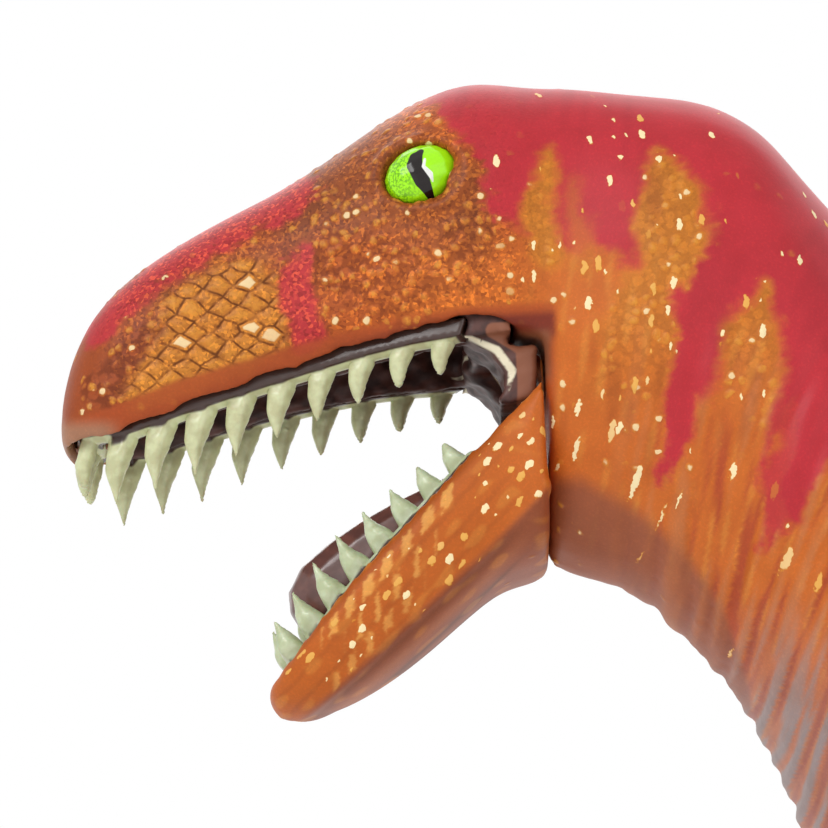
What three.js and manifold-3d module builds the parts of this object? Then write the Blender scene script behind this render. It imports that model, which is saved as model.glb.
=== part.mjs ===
// A jointed toy dinosaur figure: a two-legged hunter that stands with its mouth wide open.
// The body and the neck are hollow halves closed on the centre plane. The limbs and the tail are solid mouldings
// on pegs, and the lower jaw swings on a steel pin between the cheeks.
// The nose points along -X, and the left side faces -Y.
import * as THREE from 'three';
import { mergeVertices } from 'three/addons/utils/BufferGeometryUtils.js';
import Module from 'manifold-3d';

const wasm = await Module();
wasm.setup();

// Driving sizes, in millimetres
const head = { length: 62, lip: 1.7, vaultShare: 0.36, troughShare: 0.46, narrowShare: 0.25 };
const neck = { radius: 27.5, reach: 46.9, rise: 46.9, tilt: THREE.MathUtils.degToRad(50), wall: 2.6, endWall: 3 };
const torso = { length: 142, depth: 66, width: 62, wall: 2.6, endWall: 3 };
const tail = { length: 168, radius: 18.4, lift: 17 };
const leg = { height: 111, width: 30.4, plane: 25.6, boss: 13, recess: 27 };
const foot = { toeLength: 33, toeRadius: 4.6, padHeight: 4.4, clawLength: 11.5, clawRadius: 2.5, sickleLength: 15,
  clawLean: THREE.MathUtils.degToRad(-74), clawCurl: THREE.MathUtils.degToRad(46),
  sickleLean: THREE.MathUtils.degToRad(-48), sickleCurl: THREE.MathUtils.degToRad(76) };
const arm = { length: 48.3, width: 18.8, plane: 26.6, boss: 9, recess: 14 };
const hand = { fingerLength: 10.5, fingerRadius: 2.1, clawLength: 7, clawRadius: 1.5,
  droop: THREE.MathUtils.degToRad(-43) };
const eye = { length: 8.8, height: 6.8, depth: 6.4, bulge: 1.1, tilt: THREE.MathUtils.degToRad(-24) };
const upperTeeth = { count: 21, length: 7.6, radius: 1.45, railHalf: 1.6, railHeight: 2.2, sink: 0.3,
  rearShare: 0.42, fullShare: 0.625, frontShare: 0.72, noseShare: 0.12 };
const lowerTeeth = { count: 17, length: 5.4, radius: 1.5, railHalf: 1.65, railHeight: 1.7, sink: 0.3,
  rearShare: 0.55, fullShare: 0.5, frontShare: 1, noseShare: 0.2 };
const lining = { wall: 1.2, roof: 1.5 };
const cheekWeb = { inner: 5, outer: 14.4 };
const tongue = { height: 11, half: 5.4 };
const jawHinge = { pinRadius: 1.5, pinHalf: 12.5, lugRadius: 4, lugHalf: 4,
  swing: THREE.MathUtils.degToRad(24) };
const peg = { flange: 2.4, play: 0.35 };
const neckPeg = { radius: 7, flangeRadius: 11.5 };
const tailPeg = { radius: 5, flangeRadius: 8.5, insert: 13 };
const hipPeg = { radius: 4.6, flangeRadius: 8, insert: 11 };
const shoulderPeg = { radius: 3, flangeRadius: 5.4, insert: 8 };
const screw = { headRadius: 2.6, headHeight: 1.9, shankRadius: 1.25, reach: 9, seat: 7, boss: 4.3 };

// Clearances, in millimetres
const clear = {
  running: 0.3, glued: 0.3, press: 0.05, seat: 0.3, joint: 0.2, overrun: 4, sliver: 0.04, weld: 1e-4,
};

const skinColour = new THREE.MeshStandardMaterial({ color: 0xc4521e, roughness: 0.42, metalness: 0 });
const crestColour = new THREE.MeshStandardMaterial({ color: 0xb8303a, roughness: 0.42, metalness: 0 });
const toothColour = new THREE.MeshStandardMaterial({ color: 0xd4d6ae, roughness: 0.35, metalness: 0 });
const mouthColour = new THREE.MeshStandardMaterial({ color: 0x4a2a26, roughness: 0.4, metalness: 0 });
const tongueColour = new THREE.MeshStandardMaterial({ color: 0x6b4038, roughness: 0.38, metalness: 0 });
const eyeColour = new THREE.MeshStandardMaterial({ color: 0x93f01c, roughness: 0.12, metalness: 0 });
const pegColour = new THREE.MeshStandardMaterial({ color: 0x8d8d88, roughness: 0.5, metalness: 0 });
const steelColour = new THREE.MeshStandardMaterial({ color: 0xb5b8bc, roughness: 0.3, metalness: 1 });

const lerp = THREE.MathUtils.lerp;
const sideView = (x, z) => new THREE.Vector2(x, z);

// Skins and solids

/** A closed skin over rings of equal count, each end closed by a fan. */
function skin(rings) {
  const count = rings[0].length;
  const points = rings.flat();
  const centre = ring => ring.reduce((sum, p) => sum.add(p), new THREE.Vector3()).divideScalar(count);
  points.push(centre(rings[0]), centre(rings.at(-1)));
  const index = [];
  for (let r = 0; r + 1 < rings.length; r++) {
    for (let k = 0; k < count; k++) {
      const a = r * count + k;
      const b = r * count + (k + 1) % count;
      index.push(a, b, b + count, a, b + count, a + count);
    }
  }
  const last = (rings.length - 1) * count;
  for (let k = 0; k < count; k++) {
    const next = (k + 1) % count;
    index.push(points.length - 2, next, k);
    index.push(points.length - 1, last + k, last + next);
  }
  const geometry = new THREE.BufferGeometry();
  geometry.setAttribute('position', new THREE.Float32BufferAttribute(points.flatMap(p => [p.x, p.y, p.z]), 3));
  geometry.setIndex(index);
  return geometry;
}

/** The manifold solid inside a closed geometry, whichever way its faces are wound. */
function solid(geometry) {
  const bare = geometry.clone();
  for (const name of Object.keys(bare.attributes)) {
    if (name !== 'position') bare.deleteAttribute(name);
  }
  const merged = mergeVertices(bare, clear.weld);
  const build = triVerts => new wasm.Manifold(new wasm.Mesh({
    numProp: 3, vertProperties: new Float32Array(merged.attributes.position.array), triVerts,
  }));
  const made = build(new Uint32Array(merged.index.array));
  if (made.volume() > 0) return made;
  return build(new Uint32Array(merged.index.array).reverse());
}

/** The largest of a solid's separate pieces, where cuts have left slivers beside it. */
const mainPiece = made => made.decompose().reduce((best, next) => next.volume() > best.volume() ? next : best);

const joined = solids => solids.reduce((sum, next) => sum.add(next));

/** A named mesh of a manifold solid, freed of the slivers that its cuts left. */
function part(name, made, material) {
  const { vertProperties, triVerts } = made.asOriginal().simplify(clear.sliver).getMesh();
  const geometry = new THREE.BufferGeometry();
  geometry.setAttribute('position', new THREE.BufferAttribute(new Float32Array(vertProperties), 3));
  geometry.setIndex(new THREE.BufferAttribute(new Uint32Array(triVerts), 1));
  geometry.computeVertexNormals();
  const mesh = new THREE.Mesh(geometry, material);
  mesh.name = name;
  return mesh;
}

/** A round bar between two points. */
function bar(from, to, radius, sides = 12) {
  const along = new THREE.Vector3().subVectors(to, from);
  const geometry = new THREE.CylinderGeometry(radius, radius, along.length(), sides);
  const turn = new THREE.Quaternion().setFromUnitVectors(new THREE.Vector3(0, 1, 0), along.normalize());
  geometry.applyQuaternion(turn);
  const middle = new THREE.Vector3().addVectors(from, to).divideScalar(2);
  return solid(geometry.translate(middle.x, middle.y, middle.z));
}

/** A solid with its geometry moved, turned or mirrored by a change. */
function reshaped(made, change) {
  const { vertProperties, triVerts } = made.getMesh();
  const geometry = new THREE.BufferGeometry();
  geometry.setAttribute('position', new THREE.BufferAttribute(new Float32Array(vertProperties), 3));
  geometry.setIndex(new THREE.BufferAttribute(new Uint32Array(triVerts), 1));
  return solid(change(geometry));
}

/** A bar across the figure, from y0 to y1 at a point of the side view. */
const crossBar = (at, y0, y1, radius, sides) =>
  bar(new THREE.Vector3(at.x, y0, at.y), new THREE.Vector3(at.x, y1, at.y), radius, sides);

/** A box from its lowest to its highest corner. */
function box(low, high) {
  const size = new THREE.Vector3().subVectors(high, low);
  const middle = new THREE.Vector3().addVectors(low, high).divideScalar(2);
  return solid(new THREE.BoxGeometry(size.x, size.y, size.z).translate(middle.x, middle.y, middle.z));
}

/** An egg with three radii. */
function egg(at, rx, ry, rz, turn, sides = 14) {
  const geometry = new THREE.SphereGeometry(1, sides, sides / 2 + 1);
  geometry.scale(rx, rz, ry).rotateX(Math.PI / 2).rotateY(turn).translate(at.x, at.y, at.z);
  return solid(geometry);
}

// Cross-sections: a top and a bottom point in the side view, a half-width, the middle's y,
// and how round the upper and the lower half are

const roundShares = { full: 1, soft: 0.91, firm: 0.8, tongue: 0.77, cheek: 0.714, vault: 0.667, lip: 0.25 };

const section = (top, bottom, half, y = 0, topRound = roundShares.full, bottomRound = roundShares.full) =>
  ({ top, bottom, half, y, topRound, bottomRound });

/** The section at a share of the way along a row of sections, on smooth curves through them. */
function sectionAt(sections, wantedShare) {
  const share = THREE.MathUtils.clamp(wantedShare, 0, 1);
  const through = pick => new THREE.CatmullRomCurve3(sections.map(pick)).getPoint(share);
  const top = through(s => new THREE.Vector3(s.top.x, s.top.y, s.half));
  const bottom = through(s => new THREE.Vector3(s.bottom.x, s.bottom.y, s.y));
  const round = through(s => new THREE.Vector3(s.topRound, s.bottomRound, 0));
  return section(sideView(top.x, top.y), sideView(bottom.x, bottom.y), top.z, bottom.z, round.x, round.y);
}

/** The outline of one section as a ring of points, from its top round by +Y. */
function ring({ top, bottom, half, y, topRound, bottomRound }, sides) {
  const middle = top.clone().add(bottom).multiplyScalar(0.5);
  const up = top.clone().sub(middle);
  return Array.from({ length: sides }, (_, k) => {
    const angle = 2 * Math.PI * k / sides;
    const cos = Math.cos(angle);
    const sin = Math.sin(angle);
    const power = cos > 0 ? topRound : bottomRound;
    const rise = Math.sign(cos) * Math.abs(cos) ** power;
    const width = k % (sides / 2) === 0 ? 0 : Math.sign(sin) * Math.abs(sin) ** power;
    return new THREE.Vector3(middle.x + up.x * rise, y + half * width, middle.y + up.y * rise);
  });
}

/** A smooth loft through sections, with the given number of rings. */
function loft(sections, rings, sides) {
  const shares = Array.from({ length: rings }, (_, k) => k / (rings - 1));
  return solid(skin(shares.map(share => ring(sectionAt(sections, share), sides))));
}

/** The same sections drawn in by a distance all round. */
function inset(sections, by) {
  return sections.map(s => {
    const up = s.top.clone().sub(s.bottom).setLength(by);
    return { ...s, top: s.top.clone().sub(up), bottom: s.bottom.clone().add(up), half: s.half - by };
  });
}

/** A curved, pointed horn that stands on the origin along +Z and bends towards +X; its root reaches below. */
function horn(length, radius, root, curl, sides = 6, rings = 2) {
  const circle = (middle, size, lean) => Array.from({ length: sides }, (_, k) => {
    const angle = 2 * Math.PI * k / sides;
    return new THREE.Vector3(size * Math.cos(angle), size * Math.sin(angle), 0)
      .applyAxisAngle(new THREE.Vector3(0, 1, 0), lean).add(middle);
  });
  const bend = length / curl;
  const tipShare = 0.12;
  const taper = 0.75;
  const stack = [circle(new THREE.Vector3(0, 0, -root), radius, 0)];
  for (let k = 0; k <= rings; k++) {
    const share = k / rings;
    const lean = curl * share;
    const size = radius * Math.max(tipShare, (1 - share) ** taper);
    stack.push(circle(new THREE.Vector3(bend * (1 - Math.cos(lean)), 0, bend * Math.sin(lean)), size, lean));
  }
  return skin(stack);
}

// Where the assemblies meet. X runs back from the hip pins and Z up from the floor.

const seatShares = { neck: [-0.619, 0.435], tail: [0.235, 0.052], shoulder: [-0.558, 0.086] };
const hip = sideView(0, leg.height);
const torsoPoint = (xShare, zShare) => sideView(hip.x + xShare * torso.length, hip.y + zShare * torso.depth);
const neckSeat = torsoPoint(...seatShares.neck);
const tailSeat = torsoPoint(...seatShares.tail);
const shoulder = torsoPoint(...seatShares.shoulder);
const neckAxis = sideView(-Math.cos(neck.tilt), Math.sin(neck.tilt));
const neckUp = sideView(Math.sin(neck.tilt), Math.cos(neck.tilt));
const jawPin = sideView(neckSeat.x - neck.reach, neckSeat.y + neck.rise);
const headPoint = (xShare, zShare) => sideView(jawPin.x + xShare * head.length, jawPin.y + zShare * head.length);
const neckPoint = (xShare, zShare) =>
  sideView(neckSeat.x + xShare * neck.radius, neckSeat.y + zShare * neck.radius);
const inSpace = (at, y = 0) => new THREE.Vector3(at.x, y, at.y);

/** The round section where the neck or the tail meets the body, moved along an axis. */
const seatSection = (seat, up, axis, radius, along) => section(
  seat.clone().addScaledVector(axis, along).addScaledVector(up, radius),
  seat.clone().addScaledVector(axis, along).addScaledVector(up, -radius), radius);
const tailAxis = sideView(1, 0);
const tailUp = sideView(0, 1);

// Body: rows of top x, top z, bottom x, bottom z, half-width, as shares of its length, depth and half-width
const torsoShares = [
  [-0.417, 0.629, -0.757, -0.002, 0.926],
  [-0.340, 0.556, -0.704, -0.211, 0.971],
  [-0.251, 0.500, -0.567, -0.411, 1.000],
  [-0.154, 0.465, -0.364, -0.506, 0.994],
  [-0.056, 0.442, -0.154, -0.506, 0.958],
  [0.040, 0.417, 0.032, -0.436, 0.890],
  [0.146, 0.372, 0.146, -0.315, 0.745],
];

/** The body's sections between its two seats. */
function torsoSections(first, last) {
  const rows = torsoShares.map(([xt, zt, xb, zb, half]) =>
    section(torsoPoint(xt, zt), torsoPoint(xb, zb), half * torso.width / 2));
  return [
    seatSection(neckSeat, neckUp, neckAxis, neck.radius, -first),
    ...rows,
    seatSection(tailSeat, tailUp, tailAxis, tail.radius, -last),
  ];
}

// The screws stand where these shares of the body's length and depth say
const screwShares = [[-0.46, 0.42], [-0.655, -0.03], [-0.17, 0.33], [-0.29, -0.37], [0.135, 0.27], [0.125, -0.2]];
const screwPlaces = screwShares.map(([x, z]) => torsoPoint(x, z));

/** The body's two hollow halves, with end walls, peg holes, screw bosses and flat hip and shoulder seats. */
function bodyShells() {
  const wide = torso.width / 2 + clear.overrun;
  const outer = loft(torsoSections(clear.joint, clear.joint), 13, 18);
  const ends = clear.joint + torso.endWall;
  const hollow = loft(inset(torsoSections(ends, ends), torso.wall), 8, 10);
  const bosses = [
    ...screwPlaces.map(at => crossBar(at, -wide, wide, screw.boss, 8)),
    ...[-1, 1].flatMap(side => [
      crossBar(hip, side * (leg.plane - torso.wall), side * wide, leg.recess + torso.wall, 14),
      crossBar(shoulder, side * (arm.plane - torso.wall), side * wide, arm.recess + torso.wall, 12)]),
  ];
  let shell = outer.subtract(hollow).add(outer.intersect(joined(bosses)));
  for (const side of [-1, 1]) {
    shell = shell
      .subtract(crossBar(hip, side * leg.plane, side * wide, leg.recess, 20))
      .subtract(crossBar(shoulder, side * arm.plane, side * wide, arm.recess, 14))
      .subtract(crossBar(hip, side * leg.plane / 2, side * wide, hipPeg.radius + clear.running))
      .subtract(crossBar(shoulder, side * arm.plane / 2, side * wide, shoulderPeg.radius + clear.running));
    const flangeHole = (at, plane, size) => crossBar(at, side * plane / 2,
      side * (plane - torso.wall), size + clear.joint);
    shell = shell.subtract(flangeHole(hip, leg.plane, hipPeg.flangeRadius))
      .subtract(flangeHole(shoulder, arm.plane, shoulderPeg.flangeRadius));
  }
  const throughSeat = (seat, axis, radius) => bar(
    inSpace(seat.clone().addScaledVector(axis, clear.overrun)),
    inSpace(seat.clone().addScaledVector(axis, -torso.endWall - clear.overrun)), radius + clear.running);
  shell = shell.subtract(throughSeat(neckSeat, neckAxis, neckPeg.radius))
    .subtract(throughSeat(tailSeat, tailAxis, tailPeg.radius));
  const holes = screwPlaces.map(at => joined([
    crossBar(at, screw.seat, wide, screw.headRadius + clear.running, 8),
    crossBar(at, -screw.reach - clear.running, screw.seat + clear.running, screw.shankRadius + clear.seat, 6)]));
  return halves(shell.subtract(joined(holes)), wide);
}

/** A solid cut on the centre plane into its left and right halves. */
function halves(whole, wide) {
  const far = torso.length + tail.length + head.length;
  const half = side => whole.intersect(box(
    new THREE.Vector3(-far, Math.min(0, side * wide), -far),
    new THREE.Vector3(far, Math.max(0, side * wide), 2 * far)));
  return { left: half(-1), right: half(1) };
}

/** One of the body's screws: it goes in from the right and bites in the left half. */
function bodyScrew(at) {
  const seat = screw.seat + clear.seat;
  return crossBar(at, seat, seat + screw.headHeight, screw.headRadius, 8)
    .add(crossBar(at, -screw.reach, seat + screw.headHeight / 2, screw.shankRadius, 6));
}

// Head: rows of top x, top z, bottom x, bottom z, half-width, as shares of its length from the jaw pin
const skullShares = [
  [-0.948, -0.075, -0.952, -0.178, 0.055],
  [-0.930, -0.015, -0.942, -0.202, 0.112],
  [-0.900, 0.055, -0.908, -0.206, 0.145],
  [-0.850, 0.117, -0.846, -0.197, 0.166],
  [-0.772, 0.179, -0.763, -0.167, 0.182],
  [-0.670, 0.242, -0.652, -0.130, 0.194],
  [-0.559, 0.300, -0.541, -0.097, 0.206],
  [-0.467, 0.359, -0.439, -0.071, 0.226],
  [-0.374, 0.426, -0.337, -0.048, 0.254],
  [-0.281, 0.480, -0.244, -0.034, 0.278],
  [-0.198, 0.507, -0.143, -0.021, 0.294],
  [-0.106, 0.498, -0.054, -0.013, 0.294],
  [-0.004, 0.482, 0.043, -0.017, 0.252],
];
const skullSections = skullShares.map(([xt, zt, xb, zb, half]) =>
  section(headPoint(xt, zt), headPoint(xb, zb), half * head.length, 0, roundShares.soft, roundShares.lip));

// Neck: the first rows hang on the head, the next on the neck's seat in shares of its radius
const cheekShares = [
  [-0.270, 0.440, -0.200, -0.150, 0.262],
  [-0.094, 0.497, -0.047, -0.413, 0.296],
  [0.043, 0.485, 0.043, -0.428, 0.326],
  [0.144, 0.472, 0.117, -0.465, 0.350],
  [0.237, 0.459, 0.191, -0.533, 0.363],
  [0.339, 0.402, 0.256, -0.607, 0.374],
];
const napeShares = [
  [-0.657, 2.322, -0.983, 0.126, 0.875],
  [-0.335, 1.967, -0.858, -0.126, 0.905],
  [0.021, 1.540, -0.787, -0.356, 0.943],
  [0.397, 1.088, -0.766, -0.523, 0.975],
];

/** The neck's sections from the cheeks, or from a later row, to its seat. */
function neckSections(firstRow, gap) {
  const cheeks = cheekShares.map(([xt, zt, xb, zb, half]) =>
    section(headPoint(xt, zt), headPoint(xb, zb), half * head.length, 0, roundShares.cheek));
  const nape = napeShares.map(([xt, zt, xb, zb, half]) =>
    section(neckPoint(xt, zt), neckPoint(xb, zb), half * neck.radius));
  return [...cheeks.slice(firstRow), ...nape, seatSection(neckSeat, neckUp, neckAxis, neck.radius, gap)];
}

/** A flat shape of the side view, given as shares of the head's length, thick from y0 to y1. */
function headPlate(shares, y0, y1) {
  const outline = new THREE.Shape(shares.map(([x, z]) => headPoint(x, z)));
  const geometry = new THREE.ExtrudeGeometry(outline, { depth: y1 - y0, bevelEnabled: false });
  return solid(geometry.rotateX(Math.PI / 2).translate(0, y1, 0));
}

// The front of the neck is cut off along this line, where the lower jaw swings
const jawSpaceShares = [[-0.6, -0.018], [-0.0665, -0.018], [-0.046, -0.6], [-0.6, -0.6]];

// A row this near to another gives the outline's slope, and a row this near to the front is blunt
const nearShare = 0.01;
const bluntShare = 0.08;

/** Sections drawn in from their whole outline in plan: narrower, and moved back, in full at a blunt front. */
function drawnIn(sections, { from, to }, count, by) {
  const blunt = from < bluntShare;
  const rows = Array.from({ length: count }, (_, k) => {
    const share = lerp(from, to, k / (count - 1));
    const s = sectionAt(sections, share);
    const ahead = sectionAt(sections, share + nearShare);
    const behind = sectionAt(sections, share - nearShare);
    const back = ahead.bottom.clone().add(ahead.top).sub(behind.bottom).sub(behind.top).divideScalar(2);
    const slope = Math.atan2(ahead.half - behind.half, back.length());
    const shift = back.setLength(by * (blunt && k === 0 ? 1 : Math.sin(slope)));
    return { ...s, top: s.top.clone().add(shift), bottom: s.bottom.clone().add(shift),
      half: Math.max(s.half * head.narrowShare, s.half - by * Math.cos(slope)) };
  });
  const [front] = rows;
  return rows.filter(s => s === front || (s.top.x > front.top.x && s.bottom.x > front.bottom.x));
}

/** The same sections cut down to a band beside the lips, from an overrun past them to a share of their depth. */
function band(sections, lipName, share, less) {
  const otherName = lipName === 'bottom' ? 'top' : 'bottom';
  return sections.map(s => {
    const inward = s[otherName].clone().sub(s[lipName]);
    const depth = inward.length();
    inward.normalize();
    return { ...s, [otherName]: s[lipName].clone().addScaledVector(inward, depth * share - less),
      [lipName]: s[lipName].clone().addScaledVector(inward, -clear.overrun) };
  });
}

// The stretches of the skull that the mouth and the tooth rail take, and how many rows shape each of them
const upperSpanShares = { mouth: { from: 0.029, to: 0.85 }, rail: { from: 0.158, to: 0.767 } };
const rowCounts = { mouth: 10, rail: 9, trough: 9 };

/** The space inside the upper lips, drawn in by a distance, with a rounded roof. */
function upperMouth(by, less) {
  const inner = drawnIn(skullSections, upperSpanShares.mouth, rowCounts.mouth, head.lip + by);
  const rows = band(inner, 'bottom', head.vaultShare, less);
  const rounded = rows.map(s => ({ ...s, topRound: roundShares.vault, bottomRound: roundShares.lip }));
  rounded.at(-1).top.addScaledVector(backward, -by);
  rounded.at(-1).bottom.addScaledVector(backward, -by);
  return loft(rounded, 11, 14);
}

/** The path of a tooth rail beside the lips, from the back of the left side round the front to the right. */
function railPath(sections, lipName, sizes, span) {
  const rows = drawnIn(sections, span, rowCounts.rail, head.lip + clear.seat + sizes.railHalf);
  const otherName = lipName === 'bottom' ? 'top' : 'bottom';
  const points = rows.map(s => {
    const inward = s[otherName].clone().sub(s[lipName]).normalize();
    return { at: s[lipName].clone().addScaledVector(inward, sizes.sink), y: s.half };
  });
  const right = points.map(p => inSpace(p.at, p.y));
  const left = points.map(p => inSpace(p.at, -p.y)).reverse();
  const ahead = points[0].at.clone().sub(points[1].at).setLength(points[0].y * sizes.noseShare);
  const nose = inSpace(points[0].at.clone().add(ahead));
  return new THREE.CatmullRomCurve3([...left, nose, ...right], false, 'centripetal');
}

/** The flat rail that carries a row of teeth, or its groove: grown by a clearance and open past the lips. */
function rail(path, up, { railHalf, railHeight }, grow = 0) {
  const outer = grow > 0 ? -clear.overrun : 0;
  const steps = 18;
  const rise = inSpace(up);
  const rings = Array.from({ length: steps + 1 }, (_, k) => {
    const share = k / steps;
    const at = path.getPointAt(share);
    const along = path.getTangentAt(share);
    const across = new THREE.Vector3().crossVectors(along, rise).normalize();
    if (share === 0 || share === 1) at.addScaledVector(along, share === 0 ? -grow : grow);
    const corner = (side, height) => at.clone().addScaledVector(across, side * (railHalf + grow))
      .addScaledVector(rise, height);
    return [corner(-1, outer), corner(1, outer), corner(1, railHeight + grow), corner(-1, railHeight + grow)];
  });
  return solid(skin(rings));
}

/** A row of curved teeth on their rail: short at the back, full from a share of the way, shorter at the nose. */
function toothRow(path, up, sizes) {
  const out = inSpace(up).negate();
  const back = inSpace(sideView(Math.abs(up.y), -up.x * Math.sign(up.y)));
  const turn = new THREE.Matrix4().makeBasis(back, new THREE.Vector3().crossVectors(out, back), out);
  const curl = 0.45;
  const noseFrom = 0.9;
  const teeth = Array.from({ length: sizes.count }, (_, k) => {
    const along = (k + 0.5) / sizes.count;
    const at = path.getPointAt(along);
    const place = 1 - Math.abs(2 * along - 1);
    const share = lerp(sizes.rearShare, 1, Math.min(1, place / sizes.fullShare))
      * (place > noseFrom ? sizes.frontShare : 1);
    const geometry = horn(sizes.length * share, sizes.radius * (1 + share) / 2, sizes.railHeight / 2, curl, 5);
    return solid(geometry.applyMatrix4(turn).translate(at.x, at.y, at.z));
  });
  return joined([rail(path, up, sizes), ...teeth]);
}

// The upper teeth hang square to the lips
const upperLean = THREE.MathUtils.degToRad(72.8);
const snoutUp = sideView(Math.cos(upperLean), Math.sin(upperLean));
const backward = sideView(1, 0);
const upperPath = railPath(skullSections, 'bottom', upperTeeth, upperSpanShares.rail);

// Lower jaw: rows as for the skull
const jawShares = [
  [-0.570, -0.640, -0.548, -0.683, 0.050],
  [-0.553, -0.618, -0.490, -0.680, 0.098],
  [-0.513, -0.572, -0.415, -0.654, 0.134],
  [-0.448, -0.487, -0.337, -0.607, 0.162],
  [-0.365, -0.394, -0.263, -0.548, 0.184],
  [-0.272, -0.298, -0.189, -0.481, 0.210],
  [-0.198, -0.219, -0.138, -0.441, 0.238],
  [-0.126, -0.140, -0.084, -0.422, 0.268],
  [-0.072, -0.093, -0.055, -0.413, 0.284],
];
const jawSections = jawShares.map(([xt, zt, xb, zb, half]) =>
  section(headPoint(xt, zt), headPoint(xb, zb), half * head.length, 0, roundShares.lip, roundShares.firm));

// The trough runs out at the back of the jaw, and its lining stops short of the cheeks' webs
const lowerSpanShares = {
  trough: { from: 0.0625, to: 1 },
  lining: { from: 0.0625, to: 0.7375 },
  rail: { from: 0.2, to: 0.725 },
};

/** The space inside the lips of the lower jaw over a span, drawn in by a distance, with a rounded floor. */
function lowerMouth(by, less, span, onward) {
  const rows = band(drawnIn(jawSections, span, rowCounts.trough, head.lip + by), 'top', head.troughShare, less);
  const last = rows.at(-1);
  const further = last.top.clone().sub(rows.at(-2).top).setLength(onward);
  last.top.add(further);
  last.bottom.add(further);
  return loft(rows.map(s => ({ ...s, topRound: roundShares.lip, bottomRound: roundShares.vault })), 9, 14);
}

const jawAlong = jawSections[6].top.clone().sub(jawSections[3].top).normalize();
const jawDown = sideView(jawAlong.y, -jawAlong.x);
const lowerPath = railPath(jawSections, 'top', lowerTeeth, lowerSpanShares.rail);

// The lug hangs from the pin behind the throat and reaches forward under the floor of the mouth
const lugShares = [[-0.066, 0], [0.04, 0], [0.04, -0.34], [-0.17, -0.34], [-0.17, -0.295], [-0.05, -0.265]];

/** The jaw's lug round its pin, turned with the jaw and grown for its slot. */
function jawLug(grow, turn) {
  const half = jawHinge.lugHalf + grow;
  const lowest = Math.min(...lugShares.map(([, z]) => z));
  const growShare = grow / head.length;
  const grownShares = lugShares.map(([x, z]) => [x + growShare * Math.sign(x), z === lowest ? z - growShare : z]);
  const lug = crossBar(jawPin, -half, half, jawHinge.lugRadius + grow, 12)
    .add(headPlate(grownShares, -half, half));
  return turn === 0 ? lug : reshaped(lug, geometry => geometry
    .translate(-jawPin.x, 0, -jawPin.y).rotateY(turn).translate(jawPin.x, 0, jawPin.y));
}

const eyeShares = [-0.287, 0.278];
const eyePlace = headPoint(...eyeShares);
const eyeRowShare = 0.746;

/** An eyeball on one side, grown for the socket that it sits in. */
function eyeball(side, grow) {
  const s = sectionAt(skullSections, eyeRowShare);
  const at = inSpace(eyePlace, side * (s.half - eye.depth / 2 + eye.bulge / 2));
  return egg(at, eye.length / 2 + grow, eye.depth / 2 + grow, eye.height / 2 + grow, eye.tilt);
}

/** The skull and the hollow neck as two halves. */
function headShells() {
  const wide = neck.radius + clear.overrun;
  const nape = loft(neckSections(0, clear.joint), 15, 18)
    .subtract(headPlate(jawSpaceShares, -wide, wide));
  const whole = loft(skullSections, 19, 18).add(nape);
  const hollow = loft(inset(neckSections(4, neck.endWall + clear.joint), neck.wall), 8, 12);
  const slot = joined([0, 0.5, 1].map(share => jawLug(clear.running, share * jawHinge.swing)));
  const pegEnd = inSpace(neckSeat.clone().addScaledVector(neckAxis, neck.endWall + clear.overrun));
  const pegHole = bar(inSpace(neckSeat), pegEnd, neckPeg.radius + clear.running);
  const pinHalf = jawHinge.pinHalf + clear.glued;
  const shell = whole.subtract(hollow).subtract(upperMouth(0, 0)).subtract(slot).subtract(pegHole)
    .subtract(rail(upperPath, snoutUp, upperTeeth, clear.seat))
    .subtract(crossBar(jawPin, -pinHalf, pinHalf, jawHinge.pinRadius + clear.press))
    .subtract(eyeball(-1, clear.glued)).subtract(eyeball(1, clear.glued));
  return halves(shell, wide);
}

/** The lower jaw with its trough, lug and pin bore. */
function lowerJaw() {
  return loft(jawSections, 13, 18).subtract(lowerMouth(0, 0, lowerSpanShares.trough, clear.overrun))
    .add(jawLug(0, 0))
    .subtract(rail(lowerPath, jawDown, lowerTeeth, clear.seat))
    .subtract(crossBar(jawPin, -jawHinge.pinHalf, jawHinge.pinHalf, jawHinge.pinRadius + clear.running));
}

/** How far a lining's inner wall lies inside the lips: past the tooth rail and its clearances. */
const liningInner = sizes => 2 * clear.seat + 2 * sizes.railHalf + lining.wall;

// The webs of the cheeks hang from the back of the lining, inside the lower jaw's rim
const cheekWebShares = [[-0.21, 0.03], [-0.21, -0.02], [-0.165, -0.05], [-0.14, -0.085], [-0.138, -0.115],
  [-0.15, -0.138], [-0.082, -0.138], [-0.079, -0.034], [-0.135, -0.034], [-0.135, 0.03]];

/** The dark vaulted lining of the upper mouth, level with the lips and stepped for the tooth rail. */
function palate() {
  const webs = [[cheekWeb.inner, cheekWeb.outer], [-cheekWeb.outer, -cheekWeb.inner]]
    .map(([y0, y1]) => headPlate(cheekWebShares, y0, y1));
  return upperMouth(clear.seat, clear.seat).subtract(upperMouth(liningInner(upperTeeth), lining.roof))
    .subtract(pastLips(skullSections, 'bottom')).add(joined(webs))
    .subtract(rail(upperPath, snoutUp, upperTeeth, clear.seat));
}

/** Everything past the lips of one jaw, which its lining keeps clear of. */
function pastLips(sections, lipName) {
  const otherName = lipName === 'bottom' ? 'top' : 'bottom';
  const level = sections.slice(2);
  const ahead = level[0][lipName].clone().sub(level[1][lipName]).multiplyScalar(2);
  const front = { ...level[0], top: level[0].top.clone().add(ahead), bottom: level[0].bottom.clone().add(ahead) };
  const rows = [front, ...level].map(s => {
    const inward = s[otherName].clone().sub(s[lipName]).normalize();
    return { ...s, [otherName]: s[lipName].clone().addScaledVector(inward, clear.seat),
      [lipName]: s[lipName].clone().addScaledVector(inward, -2 * clear.overrun),
      half: head.length / 2, topRound: roundShares.lip, bottomRound: roundShares.lip };
  });
  return loft(rows, 11, 12);
}

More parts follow.
